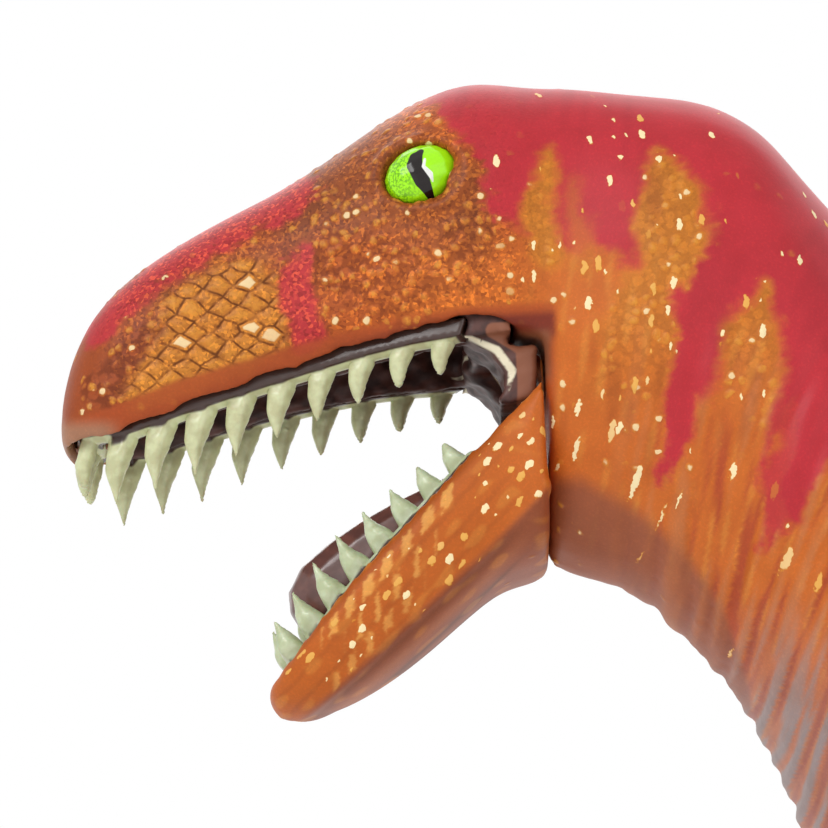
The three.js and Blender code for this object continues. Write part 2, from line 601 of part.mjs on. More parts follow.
/** The dark lining of the lower mouth, level with the lips and stepped for the tooth rail. */
function mouthFloor() {
  return lowerMouth(clear.seat, clear.seat, lowerSpanShares.lining, 0)
    .subtract(lowerMouth(liningInner(lowerTeeth), lining.roof, lowerSpanShares.lining, clear.overrun))
    .subtract(pastLips(jawSections, 'top')).subtract(rail(lowerPath, jawDown, lowerTeeth, clear.seat))
    .subtract(jawLug(clear.seat, 0));
}

// Tongue: share of the way along the jaw, height above its bed and half-width as shares of the tongue's own sizes
const tongueShares = [
  [0.3, 0.5, 0.3],
  [0.319, 0.82, 0.6],
  [0.375, 1, 0.86],
  [0.4625, 0.98, 1],
  [0.55, 0.88, 1],
  [0.625, 0.76, 0.95],
  [0.6875, 0.62, 0.85],
  [0.725, 0.5, 0.6],
];

/** The thick tongue: its underside follows the lining's bed and its tip stands up. */
function tongueSolid() {
  const rows = tongueShares.map(([along, high, half]) => {
    const s = sectionAt(jawSections, along);
    const down = s.bottom.clone().sub(s.top);
    const bed = s.top.clone().addScaledVector(down, head.troughShare);
    const top = bed.clone().addScaledVector(down.normalize(), -high * tongue.height);
    return section(top, bed, half * tongue.half, 0, roundShares.tongue);
  });
  return loft(rows, 11, 12).subtract(mouthFloorBed());
}

/** The jaw and its lining with the tongue's clearance, open above. */
function mouthFloorBed() {
  return loft(jawSections, 13, 20).subtract(
    lowerMouth(liningInner(lowerTeeth) + clear.seat, lining.roof + clear.seat, lowerSpanShares.trough,
      clear.overrun));
}

/** A spool on an axis: a shaft through a joint's two walls with a flange behind each. */
function spool(seat, axis, sizes, wall) {
  const at = distance => inSpace(seat.clone().addScaledVector(axis, distance));
  const grip = wall + clear.joint + peg.play;
  return joined([bar(at(-grip - peg.flange / 2), at(grip + peg.flange / 2), sizes.radius),
    ...[-1, 1].map(side => bar(at(side * grip), at(side * (grip + peg.flange)), sizes.flangeRadius))]);
}

/** A peg whose flange is trapped in the body and whose shaft is set in a limb. */
function flangedPeg(flangeStart, flangeEnd, shaftEnd, sizes) {
  return bar(flangeStart, flangeEnd, sizes.flangeRadius).add(bar(flangeStart, shaftEnd, sizes.radius));
}

/** A limb's peg on one side of the figure. */
function limbPeg(at, side, plane, sizes) {
  const inner = plane - torso.wall - peg.play;
  return flangedPeg(inSpace(at, side * (inner - peg.flange)), inSpace(at, side * inner),
    inSpace(at, side * (plane + clear.joint * 2 + sizes.insert)), sizes);
}

/** Sections across a limb's spine: rows of x, z, half-depth, half-width and the middle's y. */
function limbSections(rows) {
  return rows.map(({ at, depth, half, y }, k) => {
    const before = rows[Math.max(0, k - 1)].at;
    const after = rows[Math.min(rows.length - 1, k + 1)].at;
    const along = after.clone().sub(before).normalize();
    const across = sideView(-along.y, along.x);
    const edge = side => at.clone().addScaledVector(across, side * depth);
    return section(edge(1), edge(-1), half, y);
  });
}

// Leg: spine x and z and half-depth as shares of its height, half-width and middle y as shares of its width
const legShares = [
  [0.040, 0.190, 0.060, 0.20, 0.42],
  [0.028, 0.130, 0.145, 0.38, 0.46],
  [0.000, 0.000, 0.207, 0.50, 0.50],
  [-0.093, -0.166, 0.192, 0.475, 0.50],
  [-0.190, -0.300, 0.124, 0.36, 0.50],
  [-0.170, -0.440, 0.100, 0.29, 0.49],
  [-0.072, -0.570, 0.076, 0.23, 0.47],
  [0.020, -0.694, 0.058, 0.185, 0.45],
  [-0.012, -0.797, 0.051, 0.17, 0.44],
  [-0.085, -0.895, 0.055, 0.195, 0.43],
  [-0.130, -0.950, 0.050, 0.20, 0.43],
];
const legInner = leg.plane + 2 * clear.joint;

/** A leg with its foot, on the left side when side is -1. */
function legSolid(side) {
  const rows = legShares.map(([x, z, depth, half, y]) => ({
    at: sideView(hip.x + x * leg.height, hip.y + z * leg.height), depth: depth * leg.height,
    half: half * leg.width, y: legInner + y * leg.width,
  }));
  const whole = loft(limbSections(rows), 16, 12)
    .add(crossBar(hip, legInner, legInner + leg.width / 2, leg.boss, 16))
    .add(footSolid())
    .subtract(box(new THREE.Vector3(-leg.height, 0, -leg.height),
      new THREE.Vector3(leg.height, 3 * leg.width, 0)))
    .subtract(crossBar(hip, 0, legInner + hipPeg.insert + clear.seat, hipPeg.radius + clear.glued));
  return mirrored(whole, side);
}

/** A solid made for the right side, or its mirror image for the left. */
const mirrored = (made, side) => side > 0 ? made : reshaped(made, geometry => geometry.scale(1, -1, 1));

// Toes: turn from straight ahead, length share, whether it is the raised one with the long claw
const toeShares = [
  { turn: -0.34, length: 0.86, raised: true },
  { turn: 0, length: 1, raised: false },
  { turn: 0.36, length: 0.9, raised: false },
];
// A toe's outline: place along it, height of its middle and its radius, as shares of its length and radius
const toeOutlineShares = [
  [0.1, 1.15, 1.05],
  [0.45, 0.9, 0.95],
  [0.7, 0.65, 0.85],
  [0.9, 0.55, 0.9],
  [1, 0.55, 0.5],
];
const toeFlatShare = 0.95;
const raisedShare = 1.1;
const clawShares = { along: 0.93, up: 0.75 };
const padShares = { length: 0.42, half: 0.34, height: 1.5 };
const heelShares = [-0.16, 0.43];

/** The foot: a pad and three toes with claws, still round below. */
function footSolid() {
  const at = new THREE.Vector3(heelShares[0] * leg.height, legInner + heelShares[1] * leg.width, foot.padHeight);
  const pad = egg(at, foot.toeLength * padShares.length, foot.toeLength * padShares.half,
    foot.toeRadius * padShares.height, 0, 8);
  const toes = toeShares.map(({ turn, length, raised }) => {
    const reach = foot.toeLength * length;
    const lift = raised ? foot.toeRadius * raisedShare : 0;
    const rows = toeOutlineShares.map(([along, high, size]) => {
      const point = side =>
        sideView(-reach * along, foot.toeRadius * (high + side * size * toeFlatShare) + lift * along);
      return section(point(1), point(-1), foot.toeRadius * size);
    });
    const ends = 2 * rows.length - 2;
    const toe = skin(Array.from({ length: ends + 1 }, (_, k) => ring(sectionAt(rows, k / ends), 6)));
    const [clawLength, curl, lean] = raised
      ? [foot.sickleLength, foot.sickleCurl, foot.sickleLean] : [foot.clawLength, foot.clawCurl, foot.clawLean];
    const claw = horn(clawLength, foot.clawRadius, foot.clawRadius, curl).rotateZ(Math.PI).rotateY(lean);
    claw.translate(-reach * clawShares.along, 0, foot.toeRadius * clawShares.up + lift);
    return joined([toe, claw].map(geometry => solid(geometry.rotateZ(turn).translate(at.x, at.y, 0))));
  });
  return joined([pad, ...toes]);
}

// Arm: spine x and z, half-depth, half-width and outward lean as shares of its length and width
const armShares = [
  [0.010, 0.170, 0.090, 0.30, 0],
  [0.000, 0.080, 0.175, 0.46, 0],
  [0.030, -0.100, 0.185, 0.48, 0.05],
  [0.130, -0.300, 0.140, 0.40, 0.16],
  [0.190, -0.470, 0.115, 0.32, 0.2],
  [0.060, -0.610, 0.098, 0.27, 0.24],
  [-0.160, -0.745, 0.075, 0.21, 0.24],
  [-0.330, -0.840, 0.085, 0.25, 0.22],
  [-0.430, -0.890, 0.070, 0.22, 0.2],
];
const armInner = arm.plane + 2 * clear.joint;
const fingerTurns = [-0.42, 0.02, 0.44];

/** An arm with its three fingers, on the left side when side is -1. */
function armSolid(side) {
  const rows = armShares.map(([x, z, depth, half, lean]) => ({
    at: sideView(shoulder.x + x * arm.length, shoulder.y + z * arm.length), depth: depth * arm.length,
    half: half * arm.width, y: armInner + (0.5 + lean) * arm.width,
  }));
  const palm = rows.at(-1);
  const quarter = Math.PI / 2;
  const fingers = fingerTurns.map(turn => {
    const finger = new THREE.CapsuleGeometry(hand.fingerRadius, hand.fingerLength, 2, 6)
      .translate(0, hand.fingerLength / 2, 0);
    const claw = horn(hand.clawLength, hand.clawRadius, hand.clawRadius, 0.9)
      .rotateY(-quarter).rotateZ(-quarter).translate(0, hand.fingerLength, 0);
    return joined([finger, claw].map(geometry => solid(geometry.rotateZ(quarter).rotateY(hand.droop)
      .rotateZ(turn).translate(palm.at.x, palm.y, palm.at.y))));
  });
  const whole = loft(limbSections(rows), 15, 10).add(joined(fingers))
    .add(crossBar(shoulder, armInner, armInner + arm.width / 2, arm.boss, 14))
    .subtract(crossBar(shoulder, 0, armInner + shoulderPeg.insert + clear.seat,
      shoulderPeg.radius + clear.glued));
  return mirrored(whole, side);
}

// Tail: x and z shares of its length and lift, and radius shares
const tailShares = [[0, 0, 1], [0.14, 0.01, 0.86], [0.31, 0.03, 0.69], [0.5, 0.12, 0.5],
  [0.7, 0.34, 0.335], [0.88, 0.68, 0.2], [0.98, 0.93, 0.1], [1, 1, 0.04]];

/** The tapering tail, bored for its peg. */
function tailSolid() {
  const rows = tailShares.map(([x, z, size]) => ({
    at: sideView(tailSeat.x + clear.joint + x * tail.length, tailSeat.y + z * tail.lift),
    depth: size * tail.radius, half: size * tail.radius, y: 0,
  }));
  const sections = limbSections(rows);
  sections[0] = seatSection(tailSeat, tailUp, tailAxis, tail.radius, clear.joint);
  const boreEnd = inSpace(tailSeat.clone().addScaledVector(tailAxis, tailPeg.insert + clear.seat));
  return loft(sections, 16, 14).subtract(bar(inSpace(tailSeat), boreEnd, tailPeg.radius + clear.glued));
}

/** The tail's peg: its flange is behind the body's end wall. */
function tailPegSolid() {
  const at = distance => inSpace(tailSeat.clone().addScaledVector(tailAxis, distance));
  const inner = -(clear.joint + torso.endWall + peg.play);
  return flangedPeg(at(inner - peg.flange), at(inner), at(tailPeg.insert), tailPeg);
}

const parts = new THREE.Group();
const shellsOfBody = bodyShells();
const shellsOfHead = headShells();
parts.add(part('torso_left_shell', shellsOfBody.left, skinColour));
parts.add(part('torso_right_shell', shellsOfBody.right, skinColour));
screwPlaces.forEach((at, k) => parts.add(part(`torso_screw_${k + 1}`, bodyScrew(at), steelColour)));
parts.add(part('neck_peg', spool(neckSeat, neckAxis, neckPeg, neck.endWall), pegColour));
parts.add(part('head_left_shell', shellsOfHead.left, crestColour));
parts.add(part('head_right_shell', shellsOfHead.right, crestColour));
parts.add(part('palate', mainPiece(palate()), mouthColour));
parts.add(part('upper_teeth', toothRow(upperPath, snoutUp, upperTeeth), toothColour));
parts.add(part('left_eye', eyeball(-1, 0), eyeColour));
parts.add(part('right_eye', eyeball(1, 0), eyeColour));
const pinBar = crossBar(jawPin, -jawHinge.pinHalf, jawHinge.pinHalf, jawHinge.pinRadius);
parts.add(part('jaw_pin', pinBar, steelColour));
parts.add(part('lower_jaw', lowerJaw(), skinColour));
parts.add(part('mouth_floor', mainPiece(mouthFloor()), mouthColour));
parts.add(part('tongue', tongueSolid(), tongueColour));
parts.add(part('lower_teeth', toothRow(lowerPath, jawDown, lowerTeeth), toothColour));
for (const [name, side] of [['left', -1], ['right', 1]]) {
  parts.add(part(`${name}_hip_peg`, limbPeg(hip, side, leg.plane, hipPeg), pegColour));
  parts.add(part(`${name}_leg`, legSolid(side), skinColour));
  parts.add(part(`${name}_shoulder_peg`, limbPeg(shoulder, side, arm.plane, shoulderPeg), pegColour));
  parts.add(part(`${name}_arm`, armSolid(side), skinColour));
}
parts.add(part('tail_peg', tailPegSolid(), pegColour));
parts.add(part('tail', tailSolid(), skinColour));

// The middle of the figure's length stands over the origin
const reach = new THREE.Box3().setFromObject(parts);
parts.position.x = -(reach.min.x + reach.max.x) / 2;

// Where each joint's axis passes, in the figure's own frame
const pivots = { jawPin, neckSeat, tailSeat, hip, shoulder };
for (const [name, at] of Object.entries(pivots)) {
  parts.userData[name] = [at.x + parts.position.x, at.y];
}
export default parts;
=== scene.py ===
"""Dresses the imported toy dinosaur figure: painted scaly hide, teeth, eyes, mouth and a pale studio."""

import logging
import math
from collections.abc import Callable
from dataclasses import dataclass
from enum import Enum

import bmesh
import bpy
import numpy as np
from mathutils import Matrix, Vector
from mathutils.bvhtree import BVHTree

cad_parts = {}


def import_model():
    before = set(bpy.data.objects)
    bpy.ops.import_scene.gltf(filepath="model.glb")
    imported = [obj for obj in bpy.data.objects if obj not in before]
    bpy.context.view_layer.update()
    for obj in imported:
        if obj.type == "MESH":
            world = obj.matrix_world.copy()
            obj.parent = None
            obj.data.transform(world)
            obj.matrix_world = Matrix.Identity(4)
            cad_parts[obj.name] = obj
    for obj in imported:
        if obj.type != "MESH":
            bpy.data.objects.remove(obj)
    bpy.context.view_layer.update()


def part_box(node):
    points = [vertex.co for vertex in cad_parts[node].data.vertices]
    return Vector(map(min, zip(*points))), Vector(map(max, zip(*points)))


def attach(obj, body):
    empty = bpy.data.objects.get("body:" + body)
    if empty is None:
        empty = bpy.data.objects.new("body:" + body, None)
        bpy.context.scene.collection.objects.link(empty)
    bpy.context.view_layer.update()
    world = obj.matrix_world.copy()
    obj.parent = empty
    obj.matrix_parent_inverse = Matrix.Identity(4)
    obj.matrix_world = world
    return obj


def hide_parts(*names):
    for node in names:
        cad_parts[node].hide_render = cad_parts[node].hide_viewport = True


Array = np.ndarray
Colour = tuple[float, float, float]
Masks = dict[str, np.ndarray]  # one row for each point, by name
Material = bpy.types.Material
Object = bpy.types.Object
Painter = Callable[["Surface"], Masks]
Path = list[tuple[float, ...]]  # rows of along, up and, for a stroke, its half-width, in millimetres
Socket = bpy.types.NodeSocket
Tree = bpy.types.NodeTree

LOG = logging.getLogger("dinosaur")
MM = 0.001  # one millimetre in Blender's metres
JAW_PIN = np.array([-138.795, 0.0, 186.61])  # where the jaw hinges, in millimetres
NECK_SEAT = np.array([-91.895, 0.0, 139.71])  # where the neck meets the body
NECK_TILT = math.radians(50.0)  # how steeply the neck rises
NECK_WAY = np.array([-math.cos(NECK_TILT), 0.0, math.sin(NECK_TILT)])  # from the body up the neck
BODY_END, TAIL_START, TAIL_TIP = 29.2, 29.6, 197.8  # along x
LEAN = math.radians(12.0)  # the camera looks up by this much
GRID_TURN = math.radians(-30.0)  # tilts the remeshing grid, so that long edges don't follow its planes
STEP = 0.5  # how far a smoothed point goes to its neighbours' mean
BACK_STEP = 0.53  # how far it is let back, which keeps the volume
LONG_MELT = 60  # the passes that melt a form's facets away
MERGE = 0.004  # points nearer than this are one, in millimetres
UNDER = 0.05  # how far under the skin a measuring ray starts, in millimetres
CUT_GAP = 0.01  # how far each half stays off the middle plane, in millimetres
SHARP = math.radians(70.0)  # an edge bent by more than this is shaded sharp
NECK_PLUG = 9.0  # the radius of the discs at the neck's seat, in millimetres
MIX_FIRST, MIX_SECOND, MIX_RESULT = 6, 7, 2  # the Mix node's colour sockets
MASKS = ("beads", "lattice", "flecks", "stipple")
PATTERN = ("Groove", "Dome", "Cell", "Speck", "Fleck", "Tint", "Height")


def paint_of(red: int, green: int, blue: int) -> Colour:
    """A screen colour, each part from 0 to 255, as the linear colour a shader wants."""
    shares = [c / 255 for c in (red, green, blue)]
    return tuple(c / 12.92 if c <= 0.04045 else ((c + 0.055) / 1.055) ** 2.4 for c in shares)


def soft_step(values: Array, low: float, high: float) -> Array:
    """A smooth rise from 0 at low to 1 at high."""
    share = np.clip((values - low) / (high - low), 0.0, 1.0)
    return share * share * (3.0 - 2.0 * share)


def line_at(path: Path, along: Array) -> Array:
    """How high the line through a path is at each place along it."""
    rows = np.array(path)
    return np.interp(along, rows[:, 0], rows[:, 1])


def beside_path(points: Array, path: Path) -> Array:
    """How far points lie outside a fat stroke drawn through a path.

    Args:
        points: Places in a plane, one row each.
        path: Rows of across, up and half-width along the stroke.

    Returns:
        The distance outside the stroke's edge, below zero inside it.
    """
    best = np.full(len(points), np.inf)
    rows = np.array(path, float)
    for start, stop in zip(rows[:-1], rows[1:]):
        run = stop[:2] - start[:2]
        share = np.clip((points - start[:2]) @ run / (run @ run), 0.0, 1.0)
        nearest = start[:2] + share[:, None] * run
        half = start[2] + share * (stop[2] - start[2])
        best = np.minimum(best, np.linalg.norm(points - nearest, axis=1) - half)
    return best


def waves(points: Array, length: float, seed: int, count: int = 6) -> Array:
    """Soft uneven waves, from about -1 to 1, at points in millimetres.

    Args:
        points: Places in space, one row each.
        length: The waves' length in millimetres.
        seed: Picks the directions and phases.
        count: How many waves are added up.

    Returns:
        One value for each point.
    """
    draw = np.random.default_rng(seed)
    total = np.zeros(len(points))
    for _ in range(count):
        way = draw.normal(size=3)
        way *= 2 * math.pi / (length * draw.uniform(0.7, 1.4) * np.linalg.norm(way))
        total += np.sin(points @ way + draw.uniform(0, 2 * math.pi))
    return total / math.sqrt(count)


def laid(under: Colour | Array, *layers: tuple[Colour, Array]) -> Array:
    """Lays tones over a colour, from the bottom up.

    Args:
        under: One colour, or one row for each point.
        layers: Tones, each with its share at every point.

    Returns:
        The points' colours, one row each.
    """
    colour = np.broadcast_to(under, (len(layers[0][1]), 3)).astype(float)
    for tone, share in layers:
        colour += share[:, None] * (np.array(tone) - colour)
    return colour


def rgba(value: object) -> object:
    """A plain colour with its alpha, or the socket as it is."""
    return (*value, 1.0) if isinstance(value, tuple) else value


class Wiring:
    """Puts nodes in a tree and joins them, the same way for shapes and for shaders."""

    def __init__(self, tree: Tree) -> None:
        """Takes the tree that the nodes go in."""
        self.nodes = tree.nodes
        self.links = tree.links

    def put(self, kind: str, inputs: dict | None = None, out: str | int = 0, **settings: object) -> Socket:
        """Adds a node.

        Args:
            kind: The node's Blender type name.
            inputs: Sockets or plain values by the input's name or number.
            out: The output wanted.
            settings: The node's properties by name.

        Returns:
            That output's socket.
        """
        node = self.nodes.new(kind)
        for name, value in settings.items():
            setattr(node, name, value)
        self.fill(node, inputs or {})
        return node.outputs[out]

    def fill(self, node: bpy.types.Node, inputs: dict) -> None:
        """Joins sockets to a node's inputs, or sets the inputs' plain values."""
        for name, value in inputs.items():
            if isinstance(value, Socket):
                self.links.new(value, node.inputs[name])
            else:
                node.inputs[name].default_value = value

    def reckon(self, operation: str, *values: object, clamp: bool = False) -> Socket:
        """One Math node's value."""
        return self.put("ShaderNodeMath", dict(enumerate(values)), operation=operation, use_clamp=clamp)

    def times(self, first: object, second: object) -> Socket:
        """Two values multiplied."""
        return self.reckon("MULTIPLY", first, second)

    def vector(self, operation: str, inputs: dict, out: int = 0) -> Socket:
        """One Vector Math node's output."""
        return self.put("ShaderNodeVectorMath", inputs, out, operation=operation)

    def ramp(self, value: object, low: float, high: float, start: float = 0.0, stop: float = 1.0) -> Socket:
        """A smooth rise from start at low to stop at high."""
        return self.put("ShaderNodeMapRange", {"Value": value, "From Min": low, "From Max": high,
                                               "To Min": start, "To Max": stop},
                        interpolation_type="SMOOTHSTEP")

    def cells(self, place: object, size: float, feature: str = "F1", even: float = 1.0,
              flat: bool = False, out: str = "Distance") -> Socket:
        """A Voronoi pattern with cells of about size in the place's own unit."""
        return self.put("ShaderNodeTexVoronoi", {"Vector": place, "Scale": 1.0 / size, "Randomness": even},
                        out, feature=feature, voronoi_dimensions="2D" if flat else "3D")

    def grain(self, place: object, size: float, detail: float, out: int = 0) -> Socket:
        """Soft noise from 0 to 1, with lumps of about size."""
        return self.put("ShaderNodeTexNoise", {"Vector": place, "Scale": 1.0 / size, "Detail": detail}, out)

    def shake(self, place: object, lump: float, reach: float) -> Socket:
        """The place moved unevenly by up to about half the reach."""
        return self.vector("MULTIPLY_ADD", {0: self.grain(place, lump, 1.0, 1), 1: (reach,) * 3, 2: place})

    def channel(self, colour: object, number: int) -> Socket:
        """One channel of a colour, such as a cell's random one."""
        return self.put("ShaderNodeSeparateXYZ", {0: colour}, number)

    def along(self, place: object, direction: tuple[float, float, float]) -> Socket:
        """How far the place lies along a direction."""
        return self.vector("DOT_PRODUCT", {0: place, 1: direction}, 1)

    def blend(self, share: object, first: object, second: object, mode: str = "MIX") -> Socket:
        """Two colours mixed by a share."""
        return self.put("ShaderNodeMix", {0: share, MIX_FIRST: rgba(first), MIX_SECOND: rgba(second)},
                        MIX_RESULT, data_type="RGBA", blend_type=mode)

    def dyed(self, colour: object, tone: Colour) -> Socket:
        """A colour multiplied by a tone."""
        return self.blend(1.0, colour, tone, "MULTIPLY")

    def place(self) -> Socket:
        """The object's own coordinates."""
        return self.put("ShaderNodeTexCoord", out="Object")

    def mask(self, name: str) -> Socket:
        """A value kept on the mesh."""
        return self.put("ShaderNodeAttribute", out="Fac", attribute_name=name)

    def bump(self, strength: float, height: object) -> Socket:
        """A normal bent by a height in metres."""
        return self.put("ShaderNodeBump", {"Strength": strength, "Distance": 1.0, "Height": height})

    def seen(self) -> Socket:
        """1 for rays from the camera or off a glossy surface, otherwise 0."""
        rays = self.nodes.new("ShaderNodeLightPath").outputs
        return self.reckon("MAXIMUM", rays["Is Camera Ray"], rays["Is Glossy Ray"])


@dataclass(frozen=True)
class Scales:
    """One skin's moulded pattern: its sizes in metres, its angles and its shares."""

    name: str
    sway: float = 0.9 * MM
    sway_lump: float = 2.4 * MM
    tremble: float = 0.3 * MM
    tremble_lump: float = 0.5 * MM
    tear: float = 0.55 * MM
    tear_lump: float = 0.6 * MM
    bead: float = 1.15 * MM
    speck: float = 0.34 * MM
    lattice_rise: float = math.radians(43)
    lattice_fall: float = math.radians(-31)
    lattice_up: float = 2.15 * MM
    lattice_down: float = 1.95 * MM
    lattice_even: float = 0.32
    lattice_wear: float = 1.3 * MM
    fleck: float = 1.7 * MM
    fleck_radius: float = 0.30
    fleck_share: float = 0.66
    fleck_turn: float = 0.0
    fleck_stretch: tuple[float, float, float] = (1.25, 0.8, 0.5)
    fleck_even: float = 1.0
    fleck_flat: bool = True
    bead_depth: float = 0.12 * MM
    lattice_depth: float = 0.15 * MM
    fleck_depth: float = 0.05 * MM

    def pattern(self, wiring: Wiring, place: object, beads: object, lattice: object, flecks: object,
                stipple: object) -> dict[str, Socket]:
        """The pattern's masks at a place.

        Args:
            wiring: The tree to work in.
            place: Object coordinates in metres.
            beads: How many round bead scales there are, 0 to 1.
            lattice: How much the diamond lattice shows, 0 to 1.
            flecks: How many painted flecks there are, 0 to 1.
            stipple: How much fine grain there is, 0 to 1.

        Returns:
            The groove, dome, cell, speck, fleck, tint and height sockets by name.
        """
        ramp, times = wiring.ramp, wiring.times
        swayed = wiring.shake(place, self.sway_lump, self.sway)
        shaken = wiring.shake(swayed, self.tremble_lump, self.tremble)
        plain = wiring.reckon("SUBTRACT", 1.0, lattice, clamp=True)

        def shared(bead: object, diamond: object) -> Socket:
            """The beads' mask, giving way to the diamonds' where the lattice shows."""
            return wiring.reckon("ADD", times(bead, plain), times(diamond, lattice), clamp=True)

        gap = wiring.cells(shaken, self.bead)
        bead_grey = wiring.channel(wiring.cells(shaken, self.bead, out="Color"), 0)
        present = ramp(wiring.reckon("ADD", times(bead_grey, 0.999), beads), 0.98, 1.02)
        bead_dome = times(ramp(gap, 0.2, 0.56, 1.0, 0.0), present)
        bead_line = times(ramp(gap, 0.42, 0.62), ramp(beads, 0.1, 0.7, 0.0, 0.5))
        flat = wiring.put("ShaderNodeCombineXYZ", {
            0: wiring.along(swayed, self.counting(self.lattice_rise, self.lattice_up)),
            1: wiring.along(swayed, self.counting(self.lattice_fall, self.lattice_down))})
        edge = wiring.cells(flat, 1.0, "DISTANCE_TO_EDGE", self.lattice_even, True)
        diamond_grey = wiring.channel(wiring.cells(flat, 1.0, "F1", self.lattice_even, True, "Color"), 0)
        diamond_dome = ramp(edge, 0.03, 0.30)
        diamond_line = times(ramp(edge, 0.02, 0.11, 1.0, 0.0),
                             ramp(wiring.grain(place, self.lattice_wear, 1.0), 0.3, 0.6, 0.35, 1.0))
        speck_grey = wiring.channel(wiring.cells(shaken, self.speck, out="Color"), 1)
        torn = wiring.shake(place, self.tear_lump, self.tear)
        turned = wiring.put("ShaderNodeVectorRotate", {"Vector": torn, "Angle": self.fleck_turn},
                            rotation_type="Y_AXIS")
        drawn = wiring.vector("MULTIPLY", {0: turned, 1: self.fleck_stretch})
        if self.fleck_flat:
            drawn = wiring.put("ShaderNodeCombineXYZ", {
                0: wiring.along(drawn, (1.0, 0.6, 0.0)), 1: wiring.along(drawn, (0.0, 0.4, 1.0))})
        spots = (drawn, self.fleck, "F1", self.fleck_even, self.fleck_flat)
        spot_colour = wiring.cells(*spots, "Color")
        chosen = wiring.reckon("MULTIPLY_ADD", flecks, 1.0 - self.fleck_share, wiring.channel(spot_colour, 1))
        size = ramp(wiring.channel(spot_colour, 2), 0.0, 1.0, 0.35 * self.fleck_radius, self.fleck_radius)
        fleck = times(wiring.reckon("SUBTRACT", size, wiring.cells(*spots)), 1.0 / self.fleck_radius)
        fleck = times(ramp(fleck, 0.0, 0.3), ramp(chosen, 0.99, 1.03))
        height = times(times(bead_dome, plain), self.bead_depth)
        height = wiring.reckon("MULTIPLY_ADD", times(diamond_dome, lattice), self.lattice_depth, height)
        height = wiring.reckon("MULTIPLY_ADD", fleck, self.fleck_depth, height)
        return {"Groove": shared(bead_line, diamond_line), "Dome": shared(bead_dome, diamond_dome),
                "Cell": shared(bead_grey, diamond_grey), "Fleck": fleck, "Height": height,
                "Speck": times(wiring.reckon("SUBTRACT", speck_grey, 0.5), stipple),
                "Tint": wiring.channel(spot_colour, 0)}

    def counting(self, angle: float, spacing: float) -> tuple[float, float, float]:
        """The vector whose product with a place counts the lattice's lines at this angle."""
        return (-math.sin(angle) / spacing, 0.0, math.cos(angle) / spacing)

    def relief(self) -> Tree:
        """The geometry nodes that raise this skin's scales along its normals."""
        tree = bpy.data.node_groups.new(f"{self.name}_relief", "GeometryNodeTree")
        for way in ("INPUT", "OUTPUT"):
            tree.interface.new_socket("Geometry", in_out=way, socket_type="NodeSocketGeometry")
        wiring = Wiring(tree)
        masks = [wiring.put("GeometryNodeInputNamedAttribute", {"Name": name}, data_type="FLOAT")
                 for name in MASKS]
        height = self.pattern(wiring, wiring.put("GeometryNodeInputPosition"), *masks)["Height"]
        push = wiring.vector("SCALE", {0: wiring.put("GeometryNodeInputNormal"), "Scale": height})
        start = wiring.put("NodeGroupInput")
        moved = wiring.put("GeometryNodeSetPosition", {"Geometry": start, "Offset": push})
        wiring.fill(tree.nodes.new("NodeGroupOutput"), {0: moved})
        return tree

    def group(self) -> Tree:
        """The same pattern as a shader group of masks."""
        tree = bpy.data.node_groups.new(f"{self.name}_pattern", "ShaderNodeTree")
        tree.interface.new_socket("Place", in_out="INPUT", socket_type="NodeSocketVector")
        for way, names in (("INPUT", MASKS), ("OUTPUT", PATTERN)):
            for name in names:
                tree.interface.new_socket(name.title(), in_out=way, socket_type="NodeSocketFloat")
        wiring = Wiring(tree)
        start = tree.nodes.new("NodeGroupInput").outputs
        masks = self.pattern(wiring, start["Place"], *(start[name.title()] for name in MASKS))
        wiring.fill(tree.nodes.new("NodeGroupOutput"), masks)
        return tree


def new_material(name: str) -> tuple[Material, Wiring, bpy.types.Node]:
    """An empty node material.

    Args:
        name: The material's name.

    Returns:
        The material, its wiring and its Principled BSDF.
    """
    material = bpy.data.materials.new(name)
    material.use_nodes = True
    wiring = Wiring(material.node_tree)
    wiring.nodes.clear()
    shader = wiring.nodes.new("ShaderNodeBsdfPrincipled")
    wiring.fill(wiring.nodes.new("ShaderNodeOutputMaterial"), {"Surface": shader.outputs[0]})
    return material, wiring, shader


